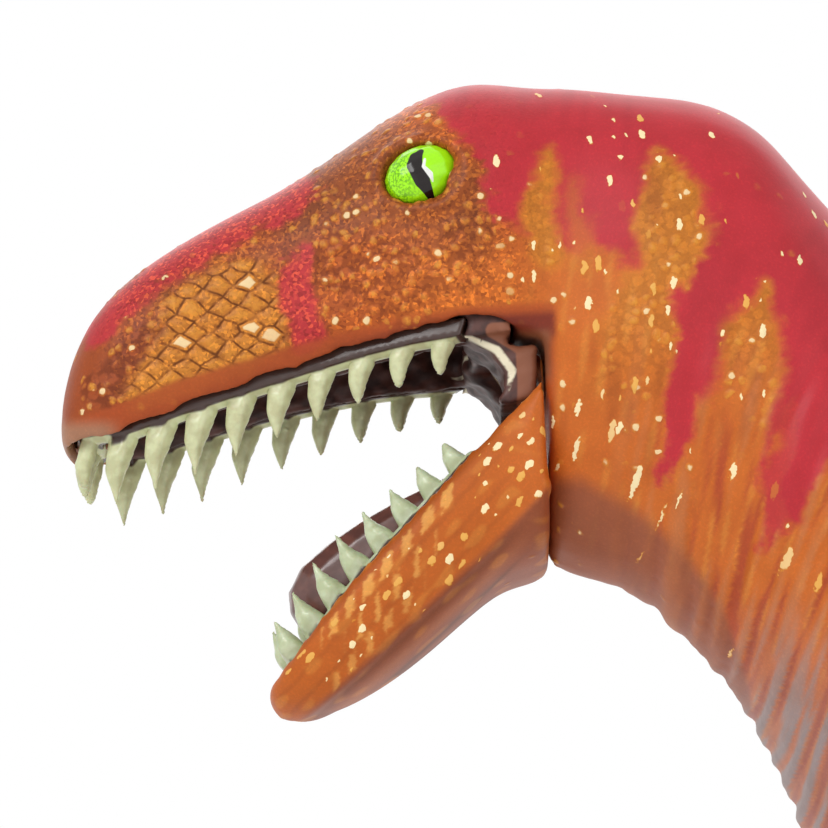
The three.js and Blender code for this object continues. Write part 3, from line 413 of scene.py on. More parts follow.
@dataclass(frozen=True)
class Hide:
    """Painted, moulded hide: its colour is the painted attribute, worked over by the scales."""

    name: str
    gold: Colour = paint_of(222, 148, 52)
    cream: Colour = paint_of(255, 236, 186)
    honey: Colour = paint_of(238, 178, 88)
    pale: float = 0.65  # the share of its flecks that are cream
    line: Colour = (0.20, 0.14, 0.11)
    shade: float = 0.9
    mottled: Colour = (0.70, 0.62, 0.55)
    # a painted highlight, which brightens a fine grain
    painted_sheen: Colour = (1.6, 1.45, 1.2)
    dark: Colour = (0.45, 0.35, 0.28)
    bright: Colour = (1.9, 1.9, 1.6)
    roughness: float = 0.48
    specular: float = 0.22
    coat: float = 0.04
    coat_roughness: float = 0.3
    bump: float = 0.6
    mottle_size: float = 4 * MM
    grit_size: float = 0.3 * MM
    rub_size: float = 0.45 * MM
    pore_size: float = 0.25 * MM
    pore_depth: float = 0.03 * MM
    speck_depth: float = 0.05 * MM

    def build(self, group: Tree) -> Material:
        """Builds the material round the skin's pattern group."""
        material, wiring, shader = new_material(self.name)
        blend, dyed, grain, ramp, times = wiring.blend, wiring.dyed, wiring.grain, wiring.ramp, wiring.times
        place = wiring.place()
        masks = {name.title(): wiring.mask(name) for name in MASKS}
        base = wiring.put("ShaderNodeAttribute", out="Color", attribute_name="paint")
        outputs = wiring.put("ShaderNodeGroup", {"Place": place, **masks}, node_tree=group).node.outputs
        groove, dome, cell, speck, fleck, tint, height = (outputs[name] for name in PATTERN)
        colour = base
        for tone, share in ((self.mottled, ramp(grain(place, self.mottle_size, 4.0), 0.38, 0.68, 0.0, 0.30)),
                            # painted highlight: a fine grain brightened as if lit
                            (self.painted_sheen, ramp(grain(place, self.grit_size, 2.0), 0.45, 0.75, 0.0, 0.22)),
                            (self.dark, ramp(speck, -0.5, -0.05, 0.6, 0.0))):
            colour = blend(share, colour, dyed(colour, tone))
        spark = times(ramp(speck, 0.12, 0.5, 0.0, 0.8), masks["Stipple"])
        colour = blend(spark, colour, blend(0.22, dyed(colour, self.bright), self.gold))
        gilt = times(dome, ramp(cell, 0.2, 1.0, 0.25, 0.9))
        rubbed = ramp(grain(place, self.rub_size, 3.0), 0.35, 0.6, 0.45, 1.0)
        colour = blend(times(gilt, rubbed), colour, self.gold)
        pale_scale = times(ramp(dome, 0.5, 0.95), ramp(cell, 0.9, 0.94))
        colour = blend(times(pale_scale, 0.7), colour, self.cream)
        colour = blend(times(groove, self.shade), colour, dyed(base, self.line))
        colour = blend(ramp(fleck, 0.0, 0.4, 0.0, 0.8), colour, self.gold)
        tone = blend(ramp(tint, self.pale - 0.12, self.pale + 0.12), self.cream, self.honey)
        raised = wiring.reckon("MULTIPLY_ADD", grain(place, self.pore_size, 3.0), self.pore_depth,
                               times(height, 0.8))
        raised = wiring.reckon("MULTIPLY_ADD", speck, self.speck_depth, raised)
        wiring.fill(shader, {
            "Base Color": blend(ramp(fleck, 0.35, 0.8, 0.0, 0.95), colour, tone),
            "Roughness": ramp(groove, 0.0, 1.0, self.roughness, 0.75), "Specular IOR Level": self.specular,
            "Coat Weight": self.coat, "Coat Roughness": self.coat_roughness,
            "Normal": wiring.bump(self.bump, raised)})
        return material


@dataclass(frozen=True)
class Gloss:
    """Smooth moulded plastic with soft mottling."""

    name: str
    colour: Colour
    deep: Colour
    roughness: float
    grain: float
    marks: tuple[tuple[str, float, Colour], ...] = ()  # each a mask's name, its reach and its tone
    coat: float = 0.0
    bump: float = 0.3
    subsurface: float = 0.0

    def build(self) -> Material:
        """Builds the material."""
        material, wiring, shader = new_material(self.name)
        place = wiring.place()
        lumps = wiring.grain(place, self.grain, 3.0)
        colour = wiring.blend(wiring.ramp(lumps, 0.35, 0.65), self.colour, self.deep)
        for name, reach, tone in self.marks:
            near = wiring.ramp(wiring.mask(name), reach - 0.15, reach + 0.15, 1.0, 0.0)
            colour = wiring.blend(near, colour, tone)
        wiring.fill(shader, {
            "Base Color": colour, "Coat Weight": self.coat, "Coat Roughness": 0.12,
            "Roughness": wiring.ramp(lumps, 0.3, 0.7, self.roughness, self.roughness + 0.12),
            "Normal": wiring.bump(self.bump, wiring.times(wiring.grain(place, 0.3 * MM, 3.0), 0.04 * MM))})
        if self.subsurface:
            wiring.fill(shader, {"Subsurface Weight": self.subsurface, "Subsurface Scale": 1.0 * MM})
        return material


@dataclass(frozen=True)
class EyeGlass:
    """The eye: speckled lime iris, dark slit pupil, a painted white glint of reflected light and a wet coat.
    """

    name: str = "eye_gloss"
    lime: Colour = paint_of(172, 255, 20)
    leaf: Colour = paint_of(75, 150, 20)
    black: Colour = paint_of(28, 20, 20)
    # the colour of the painted glint, a highlight of reflected light
    white: Colour = paint_of(245, 245, 240)

    def build(self) -> Material:
        """Builds the material from the eye's attributes."""
        material, wiring, shader = new_material(self.name)
        speckled = wiring.ramp(wiring.grain(wiring.place(), 0.28 * MM, 3.0), 0.42, 0.62)
        dark = wiring.times(speckled, wiring.ramp(wiring.mask("front"), -0.5, 1.2, 0.05, 0.7))
        colour = wiring.blend(dark, self.lime, self.leaf)
        # the pupil, then the glint, a painted highlight of reflected light
        for name, soft, tone in (("pupil", 0.05, self.black), ("glint", 0.04, self.white)):
            colour = wiring.blend(wiring.ramp(wiring.mask(name), -soft, soft, 1.0, 0.0), colour, tone)
        wiring.fill(shader, {"Base Color": colour, "Roughness": 0.2, "Specular IOR Level": 0.25,
                             "Coat Weight": 0.2, "Coat Roughness": 0.04})
        return material


def linked(name: str, data: bpy.types.ID) -> Object:
    """A new object with some data, in the scene."""
    made = bpy.data.objects.new(name, data)
    bpy.context.scene.collection.objects.link(made)
    return made


def solid(name: str, work: bmesh.types.BMesh) -> Object:
    """A new object in the scene with a worked mesh, which is let go."""
    mesh = bpy.data.meshes.new(name)
    work.to_mesh(mesh)
    work.free()
    return linked(name, mesh)


def aim(obj: Object, place: Vector, way: Vector) -> None:
    """Stands a camera or a lamp at a place, facing a way."""
    obj.location = place
    obj.rotation_mode = "QUATERNION"
    obj.rotation_quaternion = way.to_track_quat("-Z", "Y")


@dataclass(frozen=True)
class Plug:
    """A disc that closes a peg's hole in a hollow skin, hidden by the piece that stands before it."""

    centre: tuple[float, float, float]
    axis: tuple[float, float, float]
    radius: float
    depth: float = 2.2

    def add(self, work: bmesh.types.BMesh) -> None:
        """Adds the disc to a mesh."""
        made = bmesh.ops.create_cone(work, cap_ends=True, segments=24, radius1=self.radius * MM,
                                     radius2=self.radius * MM, depth=self.depth * MM)
        turn = Vector((0, 0, 1)).rotation_difference(Vector(self.axis)).to_matrix()
        bmesh.ops.rotate(work, verts=made["verts"], matrix=turn)
        bmesh.ops.translate(work, verts=made["verts"], vec=Vector(self.centre) * MM)


def neck_plug(height: float) -> Plug:
    """The disc that closes a hole for the neck's peg, this far up the neck from its seat."""
    return Plug(tuple(NECK_SEAT + height * NECK_WAY), tuple(NECK_WAY), NECK_PLUG)


def mesh_of(node: str) -> bpy.types.Mesh:
    """A CAD node's mesh."""
    return bpy.data.objects[node].data


def copy_of(name: str, *nodes: str, plugs: tuple[Plug, ...] = ()) -> Object:
    """A new object with copies of some CAD nodes' meshes, merged at their doubles.

    Args:
        name: The new object's name.
        nodes: The CAD nodes' names.
        plugs: Discs to close its holes with.

    Returns:
        The object, linked to the scene.
    """
    work = bmesh.new()
    for node in nodes:
        work.from_mesh(mesh_of(node))
    bmesh.ops.remove_doubles(work, verts=work.verts, dist=MERGE * MM)
    for plug in plugs:
        plug.add(work)
    return solid(name, work)


def tree_of(*meshes: bpy.types.Mesh) -> BVHTree:
    """A search tree over the faces of some meshes."""
    work = bmesh.new()
    for mesh in meshes:
        work.from_mesh(mesh)
    tree = BVHTree.FromBMesh(work)
    work.free()
    return tree


def distance_to(points: Array, nodes: tuple[str, ...]) -> Array:
    """How far each point lies from the nearest of some CAD nodes, in millimetres."""
    tree = tree_of(*map(mesh_of, nodes))
    return np.array([tree.find_nearest(Vector(p) * MM)[3] for p in points.tolist()]) / MM


def baked(obj: Object) -> None:
    """Applies the object's modifiers for good."""
    graph = bpy.context.evaluated_depsgraph_get()
    graph.update()
    mesh = bpy.data.meshes.new_from_object(obj.evaluated_get(graph), preserve_all_data_layers=True,
                                           depsgraph=graph)
    old = obj.data
    obj.modifiers.clear()
    obj.data = mesh
    bpy.data.meshes.remove(old)


def remeshed(obj: Object, voxel: float) -> Object:
    """Rebuilds the object's mesh on a grid of voxels of this size in millimetres, and returns it."""
    obj.data.transform(Matrix.Rotation(GRID_TURN, 4, "Y"))
    grid = obj.modifiers.new("grid", "REMESH")
    grid.mode = "VOXEL"
    grid.voxel_size = voxel * MM
    grid.use_smooth_shade = True
    baked(obj)
    obj.data.transform(Matrix.Rotation(-GRID_TURN, 4, "Y"))
    return obj


class Surface:
    """A mesh's points in millimetres, and the sculptor's ways of moving them."""

    def __init__(self, obj: Object) -> None:
        """Reads the object's mesh."""
        self.obj = obj
        mesh = obj.data
        flat = np.empty(len(mesh.vertices) * 3, np.float32)
        mesh.vertices.foreach_get("co", flat)
        self.points = flat.reshape(-1, 3).astype(float) / MM
        ends = np.empty(len(mesh.edges) * 2, np.int32)
        mesh.edges.foreach_get("vertices", ends)
        self.ends = ends.reshape(-1, 2)
        self.count = len(self.points)
        self.degree = np.maximum(np.bincount(self.ends.ravel(), minlength=self.count), 1)

    def around(self, values: Array) -> Array:
        """Each point's neighbours' mean of some values."""
        first, second = self.ends.T
        total = np.stack([np.bincount(first, column[second], self.count)
                          + np.bincount(second, column[first], self.count) for column in values.T], axis=1)
        return total / self.degree[:, None]

    def relax(self, passes: int) -> None:
        """Smooths the points in double passes, without shrinking the form."""
        for step in (STEP, -BACK_STEP) * passes:
            self.points += step * (self.around(self.points) - self.points)
        self.store()

    def blurred(self, values: Array, passes: int, share: float | Array = STEP) -> Array:
        """Some values evened out with their neighbours.

        Args:
            values: One value or one row for each point.
            passes: How many times each goes towards its neighbours' mean.
            share: How far it goes, for all or each point.

        Returns:
            The new values, in the same shape.
        """
        rows = values.reshape(self.count, -1).copy()
        weight = np.broadcast_to(share, self.count)[:, None]
        for _ in range(passes):
            rows += weight * (self.around(rows) - rows)
        return rows.reshape(values.shape)

    def melt(self, passes: int, free: float | Array = 1.0) -> None:
        """Rounds off facets where the form is free, but lets the larger forms back."""
        smooth = self.blurred(self.points, passes, STEP * free)
        self.points = smooth + self.blurred(self.points - smooth, passes, STEP * free)
        self.store()

    def thickness(self) -> Array:
        """How thick the piece is under each point, in millimetres."""
        normals = self.normals()
        tree = tree_of(self.obj.data)
        starts = (self.points - UNDER * normals) * MM
        found = [tree.ray_cast(Vector(start), Vector(way))[3]
                 for start, way in zip(starts.tolist(), (-normals).tolist())]
        return np.array([math.inf if far is None else far / MM for far in found])

    def store(self) -> None:
        """Writes the points back to the mesh."""
        self.obj.data.vertices.foreach_set("co", (self.points * MM).astype(np.float32).ravel())
        self.obj.data.update()

    def normals(self) -> Array:
        """The points' outward directions."""
        flat = np.empty(self.count * 3, np.float32)
        self.obj.data.vertex_normals.foreach_get("vector", flat)
        return flat.reshape(-1, 3).astype(float)

    def push(self, height: Array) -> None:
        """Moves each point out by its height in millimetres."""
        self.points += self.normals() * height[:, None]
        self.store()

    def note(self, name: str, values: Array) -> None:
        """Keeps one value for each point as a mesh attribute."""
        layers = self.obj.data.attributes
        layer = layers.get(name) or layers.new(name, "FLOAT", "POINT")
        layer.data.foreach_set("value", values.astype(np.float32))

    def mark(self, masks: Masks) -> None:
        """Keeps a coat's colours and masks."""
        layers = self.obj.data.color_attributes
        layer = layers.get("paint") or layers.new("paint", "FLOAT_COLOR", "POINT")
        full = np.ones((self.count, 4), np.float32)
        full[:, :3] = masks["paint"]
        layer.data.foreach_set("color", full.ravel())
        for name in MASKS:
            self.note(name, masks[name])


def dressed(obj: Object, material: Material, body: str, slot: str, *nodes: str) -> None:
    """Gives a finished piece its material and its body, and hides the CAD nodes it stands for."""
    obj.data.materials.clear()
    obj.data.materials.append(material)
    for polygon in obj.data.polygons:
        polygon.use_smooth = True
    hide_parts(*nodes)
    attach(obj, body)
    LOG.info("%s: %d triangles", obj.name, sum(len(p.vertices) - 2 for p in obj.data.polygons))


def half_of(whole: Object, side: int, name: str) -> Object:
    """The part of a closed piece on one side of the middle plane, closed again.

    Args:
        whole: The piece to cut.
        side: -1 for the left or 1 for the right.
        name: The new object's name.

    Returns:
        The half, linked to the scene.
    """
    half = linked(name, whole.data.copy())
    reach = 0.5  # half the cutting block's size, in metres
    work = bmesh.new()
    bmesh.ops.create_cube(work, size=2 * reach)
    bmesh.ops.translate(work, verts=work.verts, vec=(0, side * (reach + CUT_GAP * MM), 0))
    cutter = solid("cutter", work)
    cut = half.modifiers.new("cut", "BOOLEAN")
    cut.operation = "INTERSECT"
    cut.solver = "MANIFOLD"
    cut.object = cutter
    baked(half)
    half.data.set_sharp_from_angle(angle=SHARP)
    bpy.data.objects.remove(cutter)
    return half


class Side(Enum):
    """A side of the figure."""

    LEFT = "left"
    RIGHT = "right"


@dataclass(frozen=True)
class Finish:
    """How a sculpted hide gets its scales, its paint and its place on the figure."""

    relief: Tree
    material: Material

    def raise_scales(self, surface: Surface, paint: Painter) -> Object:
        """Paints a hide, because the masks size its scales, and raises them on a finer mesh."""
        surface.mark(paint(surface))
        finer = surface.obj.modifiers.new("finer", "SUBSURF")
        finer.levels = finer.render_levels = 1
        surface.obj.modifiers.new("relief", "NODES").node_group = self.relief
        baked(surface.obj)
        return surface.obj

    def piece(self, surface: Surface, paint: Painter, body: str, slot: str, node: str) -> None:
        """Finishes a hide in one piece, painted again because its new points need colours of their own."""
        surface = Surface(self.raise_scales(surface, paint))
        surface.points[:, 2] = np.maximum(surface.points[:, 2], 0.0)  # no scale goes below the floor
        surface.store()
        surface.mark(paint(surface))
        dressed(surface.obj, self.material, body, slot, node)

    def halves(self, surface: Surface, paint: Painter, body: str, slot: str) -> None:
        """Finishes a hide that is cut in a left and a right half, named after the body's shells."""
        whole = self.raise_scales(surface, paint)
        for number, side in ((-1, Side.LEFT), (1, Side.RIGHT)):
            node = f"{body}_{side.value}_shell"
            half = Surface(half_of(whole, number, f"{node}_hide"))
            half.mark(paint(half))
            dressed(half.obj, self.material, body, slot, node)
        bpy.data.objects.remove(whole)


class Coat:
    """The painter: works out the hide's colours and masks at points of the figure."""

    orange: Colour = paint_of(190, 92, 32)
    cheek: Colour = paint_of(204, 106, 38)
    snout: Colour = paint_of(158, 72, 28)
    ochre: Colour = paint_of(206, 130, 48)
    amber: Colour = paint_of(214, 138, 40)
    crimson: Colour = paint_of(190, 46, 56)
    # painted shade, laid in the furrows of the folds
    shade_brick: Colour = paint_of(168, 62, 38)
    brown: Colour = paint_of(104, 58, 30)
    lipstick: Colour = paint_of(125, 48, 30)
    clay: Colour = paint_of(170, 120, 92)
    # painted shade, laid on the underside of the throat and the lower jaw
    shade_mauve: Colour = paint_of(150, 84, 58)
    # painted highlight, laid on the folds' ridges and in a band under the jaw
    highlight_sand: Colour = paint_of(196, 122, 74)
    grey: Colour = paint_of(156, 138, 136)
    horn: Colour = paint_of(52, 40, 34)
    gold: Colour = paint_of(226, 148, 62)
    rust: Colour = paint_of(160, 78, 26)
    lip_red: Colour = paint_of(172, 76, 34)
    honey: Colour = paint_of(238, 172, 86)
    wine: Colour = paint_of(160, 34, 46)
    web: Colour = paint_of(140, 82, 54)
    jaw_orange: Colour = paint_of(190, 96, 30)
    jaw_lip: Colour = paint_of(160, 76, 20)

    back_edge = [(30.0, -24.0), (46.9, -38.0), (67.6, -47.0), (85.0, -52.0), (110.0, -56.0), (140.0, -59.0),
                 (168.0, -61.0)]
    belly_edge = [(13.0, -38.0), (20.0, -33.0), (46.9, -38.0), (65.0, -58.0), (85.0, -76.0), (140.0, -86.0),
                  (168.0, -86.0)]
    nape_edge = [(-24, 33), (-20.1, 29.5), (-17.1, 27.8), (-12.3, 22.5), (-9.6, 15.2), (-6.0, 12.2),
                 (-1.0, 10.6), (2.6, 10.8), (7.2, 8.0), (8.4, -9.0), (14.1, -13.5), (19.3, -18.7),
                 (24.5, -19.3), *back_edge]
    fingers = [
        (1.0, [(-3.9, 21.3, 1.0), (-4.6, 16.5, 1.7), (-4.2, 11.0, 2.0)]),
        (0.55, [(-1.0, 18.5, 0.8), (0.0, 14.5, 1.6), (-0.5, 11.0, 1.8)]),
        (1.0, [(9.0, 19.8, 2.6), (10.2, 14.6, 4.3), (9.6, 8.5, 4.0), (7.0, 2.0, 4.6), (4.4, -8, 6.0)]),
        (1.0, [(20.2, 6.4, 1.1), (18.2, 0.5, 3.2), (18.4, -5.5, 4.6), (16.2, -12.4, 5.4),
               (14.1, -21.6, 6.5)]),
        (1.0, [(29.8, -10.0, 1.2), (27.4, -19.3, 3.8), (24.0, -29.0, 6.5)]),
    ]
    streak = [(14.8, 9.0, 3.0), (11.8, 0.2, 2.1), (10.0, -9.0, 1.3), (9.0, -14.5, 0.3)]
    second_streak = [(23.5, -8.0, 3.0), (21.0, -16.5, 1.8), (19.2, -22.0, 0.3)]
    throat = [(-5.0, -14.0), (0.0, -14.2), (6.0, -17.5), (11.0, -22.0), (15.5, -28.0), (19.0, -38.0),
              (22.0, -60.0)]
    snout_red = [(-55.0, 2.6, 1.6), (-50.5, 6.8, 1.9), (-44.0, 11.8, 2.1), (-36.0, 16.2, 2.2),
                 (-30.5, 18.9, 1.3)]
    snout_wedge = [(-31.5, 11.0, 1.2), (-31.8, 5.0, 2.2), (-30.8, 1.6, 1.5)]
    lattice_patch = [(-48.0, -3.2, 2.2), (-43.5, 1.8, 4.8), (-38.2, 4.8, 5.6)]
    lattice_low = [(-50.5, -4.6, 1.4), (-42.0, -2.0, 2.4), (-34.5, 0.4, 1.6)]
    front_beads = [(-54.0, -4.5, 1.6), (-49.5, 0.2, 2.2), (-45.5, 6.0, 1.6)]
    beaded = [(-28.0, 11.0, 3.0), (-22.0, 8.0, 4.5), (-14.5, 9.0, 3.5), (-11.5, 14.0, 2.5)]
    eye_brown = [(-31.0, 17.0, 4.0), (-24.0, 20.0, 7.0), (-14.0, 17.0, 5.0)]
    lip = [(-60.0, -11.0), (-51.4, -7.6), (-45.6, -5.3), (-37.6, -3.0), (-28.4, -0.3), (-20.3, 1.6),
           (-12.3, 2.9), (-3.7, 3.4)]
    lower_lip = [(-34.7, -34.8), (-7.7, -4.9)]
    jaw_edge = [(-31.8, -41.7), (-10.0, -21.5), (-3.0, -14.2)]
    jaw_rise = math.radians(47)  # how steeply the open jaw's lip rises
    jaw_run = 1.49  # the length along the jaw for each millimetre of the side view
    # Painted light and shade under the jaw's ridge, brown bands of painted shade and a sand band of painted
    # highlight: tone, distance below the ridge, width and share.
    jaw_light_and_shade_bands = [(brown, 1.5, 0.7, 0.4), (highlight_sand, 3.4, 0.8, 0.4), (brown, 5.1, 0.35, 0.7)]
    # Rows of patches: depth, half-depth, half-width, first and last place from the chin, and share.
    jaw_rows = [(2.3, 0.65, 0.26, 8.0, 31.0, 0.75), (4.7, 0.95, 0.15, 12.0, 27.0, 0.6),
                (6.8, 0.7, 0.22, 10.0, 25.0, 0.5)]

    def plane(self, points: Array) -> Array:
        """The points' places in the side view, along and up from the jaw's pin."""
        along = points[:, 0] - JAW_PIN[0]
        up = math.cos(LEAN) * (points[:, 2] - JAW_PIN[2]) + math.sin(LEAN) * np.abs(points[:, 1])
        return np.stack([along, up], axis=1)

    def drawn_out(self, points: Array) -> Array:
        """The points in a space where the neck's long folds and brush strokes are as wide as long."""
        along, up = self.plane(points).T
        lean = 0.12 + 0.026 * np.clip(along - 12.0, 0.0, 30.0)
        return np.stack([along - (up + 8.0) * lean, 0.16 * up, 0.12 * points[:, 1]], axis=1)

    def strands(self, points: Array) -> Array:
        """The neck's long skin folds, from -1 in a furrow to 1 on a ridge."""
        drawn = self.drawn_out(points)
        return np.clip(waves(drawn, 3.4, 31, 5) + 0.4 * waves(drawn, 1.5, 32, 4), -1.6, 1.6) / 1.6

    def low(self, points: Array) -> Array:
        """How much each point lies in the grey of the throat and the belly."""
        along, up = self.plane(points).T
        return soft_step(line_at(self.belly_edge, along) - up, -9.0, 9.0) * soft_step(along, 13.0, 20.0)

    def fold_share(self, points: Array) -> Array:
        """How strongly the neck is folded at each point."""
        along, up = self.plane(points).T
        return soft_step(along, 1.0, 9.0) * soft_step(-up, -8.0, 12.0)

    def head(self, points: Array) -> Masks:
        """Colours and masks of the head and neck.

        Args:
            points: Places in millimetres.

        Returns:
            paint, beads, lattice, flecks and stipple, one row for each point.
        """
        flat = self.plane(points)
        along, up = flat.T
        rough = flat.copy()
        for length, reach, seed in ((7.0, 0.55, 1), (3.3, 0.3, 3), (1.5, 0.22, 5), (0.8, 0.16, 7)):
            rough += reach * np.stack([waves(points, length, seed), waves(points, length, seed + 1)], axis=1)
        strands, folded = self.strands(points), self.fold_share(points)
        drawn = rough + np.stack([0.9 * strands * folded, np.zeros(len(points))], axis=1)
        stroked = self.drawn_out(points)

        def inside(path: Path, soft: float = 1.1, at: Array = drawn) -> Array:
            """How much a point lies inside a stroke."""
            return 1.0 - soft_step(beside_path(at, path), -soft, soft)

        patches = np.max([strength * inside(path) for strength, path in self.fingers], axis=0)
        red = soft_step(drawn[:, 1] - line_at(self.nape_edge, drawn[:, 0]), -1.0, 1.0)
        red *= soft_step(drawn[:, 0], -21.0, -15.0) * (1 - patches)
        red = np.maximum(red, inside(self.streak, 0.6))
        red = np.maximum(red, 0.9 * inside(self.second_streak, 0.8))
        snout_red, snout_wedge = inside(self.snout_red, 0.7, rough), inside(self.snout_wedge, 0.5, rough)
        scarlet = np.maximum(np.maximum(red, snout_red), snout_wedge)
        neck = soft_step(along, -10.0, 3.0)
        low = self.low(points)
        # the throat's underside below this line gets painted shade in mauve
        below = soft_step(line_at(self.throat, along) - up, -1.4, 1.6) * soft_step(along, -6.0, -3.0)
        over_lip = up - line_at(self.lip, along)
        strip = (1 - soft_step(over_lip, 1.6, 2.6)) * soft_step(-along, 2.5, 3.5)
        end = soft_step(along, -34.0, -12.0) * soft_step(-along, 2.6, 3.4) * soft_step(over_lip, -2.5, -1.0)
        corner = soft_step(along, -16.0, -11.0) * soft_step(-along, 3.0, 4.0)
        colour = laid(
            self.orange,
            (self.snout, soft_step(-along, 24.0, 34.0)),
            (self.cheek, soft_step(along, -26.0, -14.0) * (1 - soft_step(up, 8.0, 16.0))),
            (self.ochre, 0.75 * inside(self.lattice_patch, 1.4, rough)),
            (self.ochre, 0.45 * inside(self.lattice_low, 1.2, rough)),
            (self.brown, 0.5 * inside(self.eye_brown, 3.0, rough)),
            (self.amber, 0.6 * patches * soft_step(up, -10.0, 12.0)),
            (self.gold, 0.42 * neck * soft_step(waves(stroked, 1.7, 41), 0.5, 1.3)),
            (self.rust, 0.42 * neck * soft_step(waves(stroked, 2.4, 43), 0.5, 1.3)),
            # painted light on the neck's folds: sand is a painted highlight on the ridges, brick is painted
            # shade in the furrows and lower down
            (self.highlight_sand, 0.55 * folded * soft_step(strands, 0.1, 0.7)),
            (self.shade_brick, 0.75 * folded * soft_step(-strands, 0.1, 0.7) * soft_step(-up, 2.0, 14.0)),
            # painted shade on the throat's underside, lighter on the folds' ridges
            (self.shade_mauve, 0.85 * below * (1 - 0.35 * folded * soft_step(strands, 0.2, 0.8))),
            (self.grey, low * (0.35 + 0.65 * soft_step(strands, -0.1, 0.5))),
            (self.crimson, red * (1 - 0.55 * low)),
            (self.wine, 0.3 * red * soft_step(waves(stroked, 2.9, 45), 0.2, 1.2)),
            (self.crimson, 0.9 * snout_red),
            (self.crimson, 0.9 * snout_wedge),
            (self.lip_red, 0.8 * strip),
            (self.lipstick, (1 - soft_step(over_lip, 0.4, 1.7)) * end),
            (self.web, soft_step(-over_lip, 0.4, 1.6) * soft_step(over_lip, -7.5, -5.5) * corner),
            (self.clay, soft_step(-along, 51.0, 54.0) * soft_step(-up, 7.0, 9.0)))
        face = soft_step(-along, -1.0, 5.0)
        smooth_front = soft_step(along, -57.0, -50.0)
        finger_gold = patches * (1 - red) * soft_step(up, -16.0, 2.0)
        beads = np.max([0.85 * inside(self.beaded, 2.5, rough) * (1 - red),
                        0.8 * inside(self.front_beads, 1.5, rough),
                        0.3 * face * smooth_front * (1 - strip), 0.4 * finger_gold], axis=0)
        lattice = np.clip(inside(self.lattice_patch, 1.0, rough) + 0.8 * inside(self.lattice_low, 0.8, rough),
                          0, 1)
        flecks = soft_step(along, -12.0, -6.0) * (1 - 0.7 * red) * (1 - 0.6 * below) * (1 - 0.2 * folded)
        by_lip = (1 - soft_step(over_lip, 1.2, 2.4)) * soft_step(over_lip, -7.5, -6.5)
        flecks *= (1 - 0.6 * low) * (1 - by_lip * soft_step(-along, 2.0, 3.0))
        stipple = face * (0.3 + 0.7 * smooth_front) * (1 - 0.7 * strip) * (1 - 0.55 * red)
        stipple *= 1 - 0.7 * soft_step(along, -10.0, -2.0)
        return {"paint": colour, "beads": beads * (1 - scarlet),
                "lattice": lattice * (1 - scarlet) * (1 - strip), "flecks": flecks,
                "stipple": np.maximum(stipple, 0.5 * finger_gold)}

    def under_edge(self, points: Array) -> Array:
        """How far each point lies below the ridge along the lower jaw."""
        along, up = self.plane(points).T
        return line_at(self.jaw_edge, along) - up

    def jaw(self, points: Array) -> Masks:
        """Colours and masks of the lower jaw."""
        along, up = self.plane(points).T
        depth = (line_at(self.lower_lip, along) - up) * math.cos(self.jaw_rise)
        near = soft_step(along, -12.0, -4.0)
        band = (1 - soft_step(depth, 1.4, 1.9)) * (1 - near)
        below = self.under_edge(points)
        # the jaw's underside below its ridge, which gets painted shade in mauve
        under = soft_step(below, -0.8, 0.8)
        rows = soft_step(np.cos(2 * math.pi * (depth - 3.4) / 2.3 + 0.5 * waves(points, 6.0, 51)), 0.55, 0.95)
        from_chin = (along - self.lower_lip[0][0]) * self.jaw_run
        count = 20.0 * np.log(2.2 + 0.05 * np.maximum(from_chin, 0.0)) + 0.08 * waves(points, 1.1, 55)
        ragged = 0.22 * waves(points, 0.9, 57)
        patches = []
        for middle, half, wide, first, last, share in self.jaw_rows:
            patch = 1 - soft_step(np.abs(depth + ragged - middle), half - 0.2, half + 0.2)
            patch *= 1 - soft_step(np.abs((count + 0.2 * middle) % 1.0 - 0.5), wide - 0.06, wide + 0.06)
            patch *= soft_step(from_chin, first, first + 1.0) * (1 - soft_step(from_chin, last, last + 1.0))
            patches.append((self.honey, share * patch))
        streaked = np.stack([along + 0.9 * up, 4.0 * depth, points[:, 1]], axis=1)
        colour = laid(
            self.jaw_orange,
            (self.jaw_lip, 0.55 * band), (self.cheek, 0.7 * near), (self.shade_mauve, 0.85 * under),
            # the bands of painted shade and painted highlight under the jaw's ridge
            *((tone, share * np.exp(-((below - place) / half) ** 2) * soft_step(-along, 5.0, 10.0))
              for tone, place, half, share in self.jaw_light_and_shade_bands),
            (self.rust, 0.35 * rows * (1 - band) * (1 - under) * (1 - near)), *patches,
            (self.gold, 0.3 * soft_step(waves(streaked, 5.0, 53), 0.4, 1.3)))
        zero = np.zeros(len(points))
        return {"paint": colour, "beads": zero, "lattice": zero, "flecks": (1 - band) * (1 - under),
                "stipple": zero + 0.15}

    def torso(self, points: Array) -> Masks:
        """Colours and masks of the body, whose front goes on from the neck."""
        along, up = self.plane(points).T
        rough = 5.0 * self.flank_waves(points) * soft_step(along, 50.0, 75.0) + 0.5 * waves(points, 3.0, 11)
        red = soft_step(up - line_at(self.back_edge, along) + rough, -1.5, 1.5)
        made = self.worn(points, red, self.low(points))
        front = (1 - soft_step(along, 50.0, 85.0)) * (1 - red)
        strands = self.strands(points)
        # painted light on the front's folds: sand is a painted highlight on the ridges, brick is painted
        # shade in the furrows
        made["paint"] = laid(made["paint"], (self.highlight_sand, 0.5 * front * soft_step(strands, 0.1, 0.7)),
                             (self.shade_brick, 0.5 * front * soft_step(-strands, 0.1, 0.7)))
        for name in ("beads", "stipple"):
            made[name] = made[name] * soft_step(along, 45.0, 85.0)
        return made

    def flank_waves(self, points: Array) -> Array:
        """The long waves where the back's red meets the orange."""
        return waves(points * np.array([1.0, 0.3, 0.25]), 22.0, 9, 4)

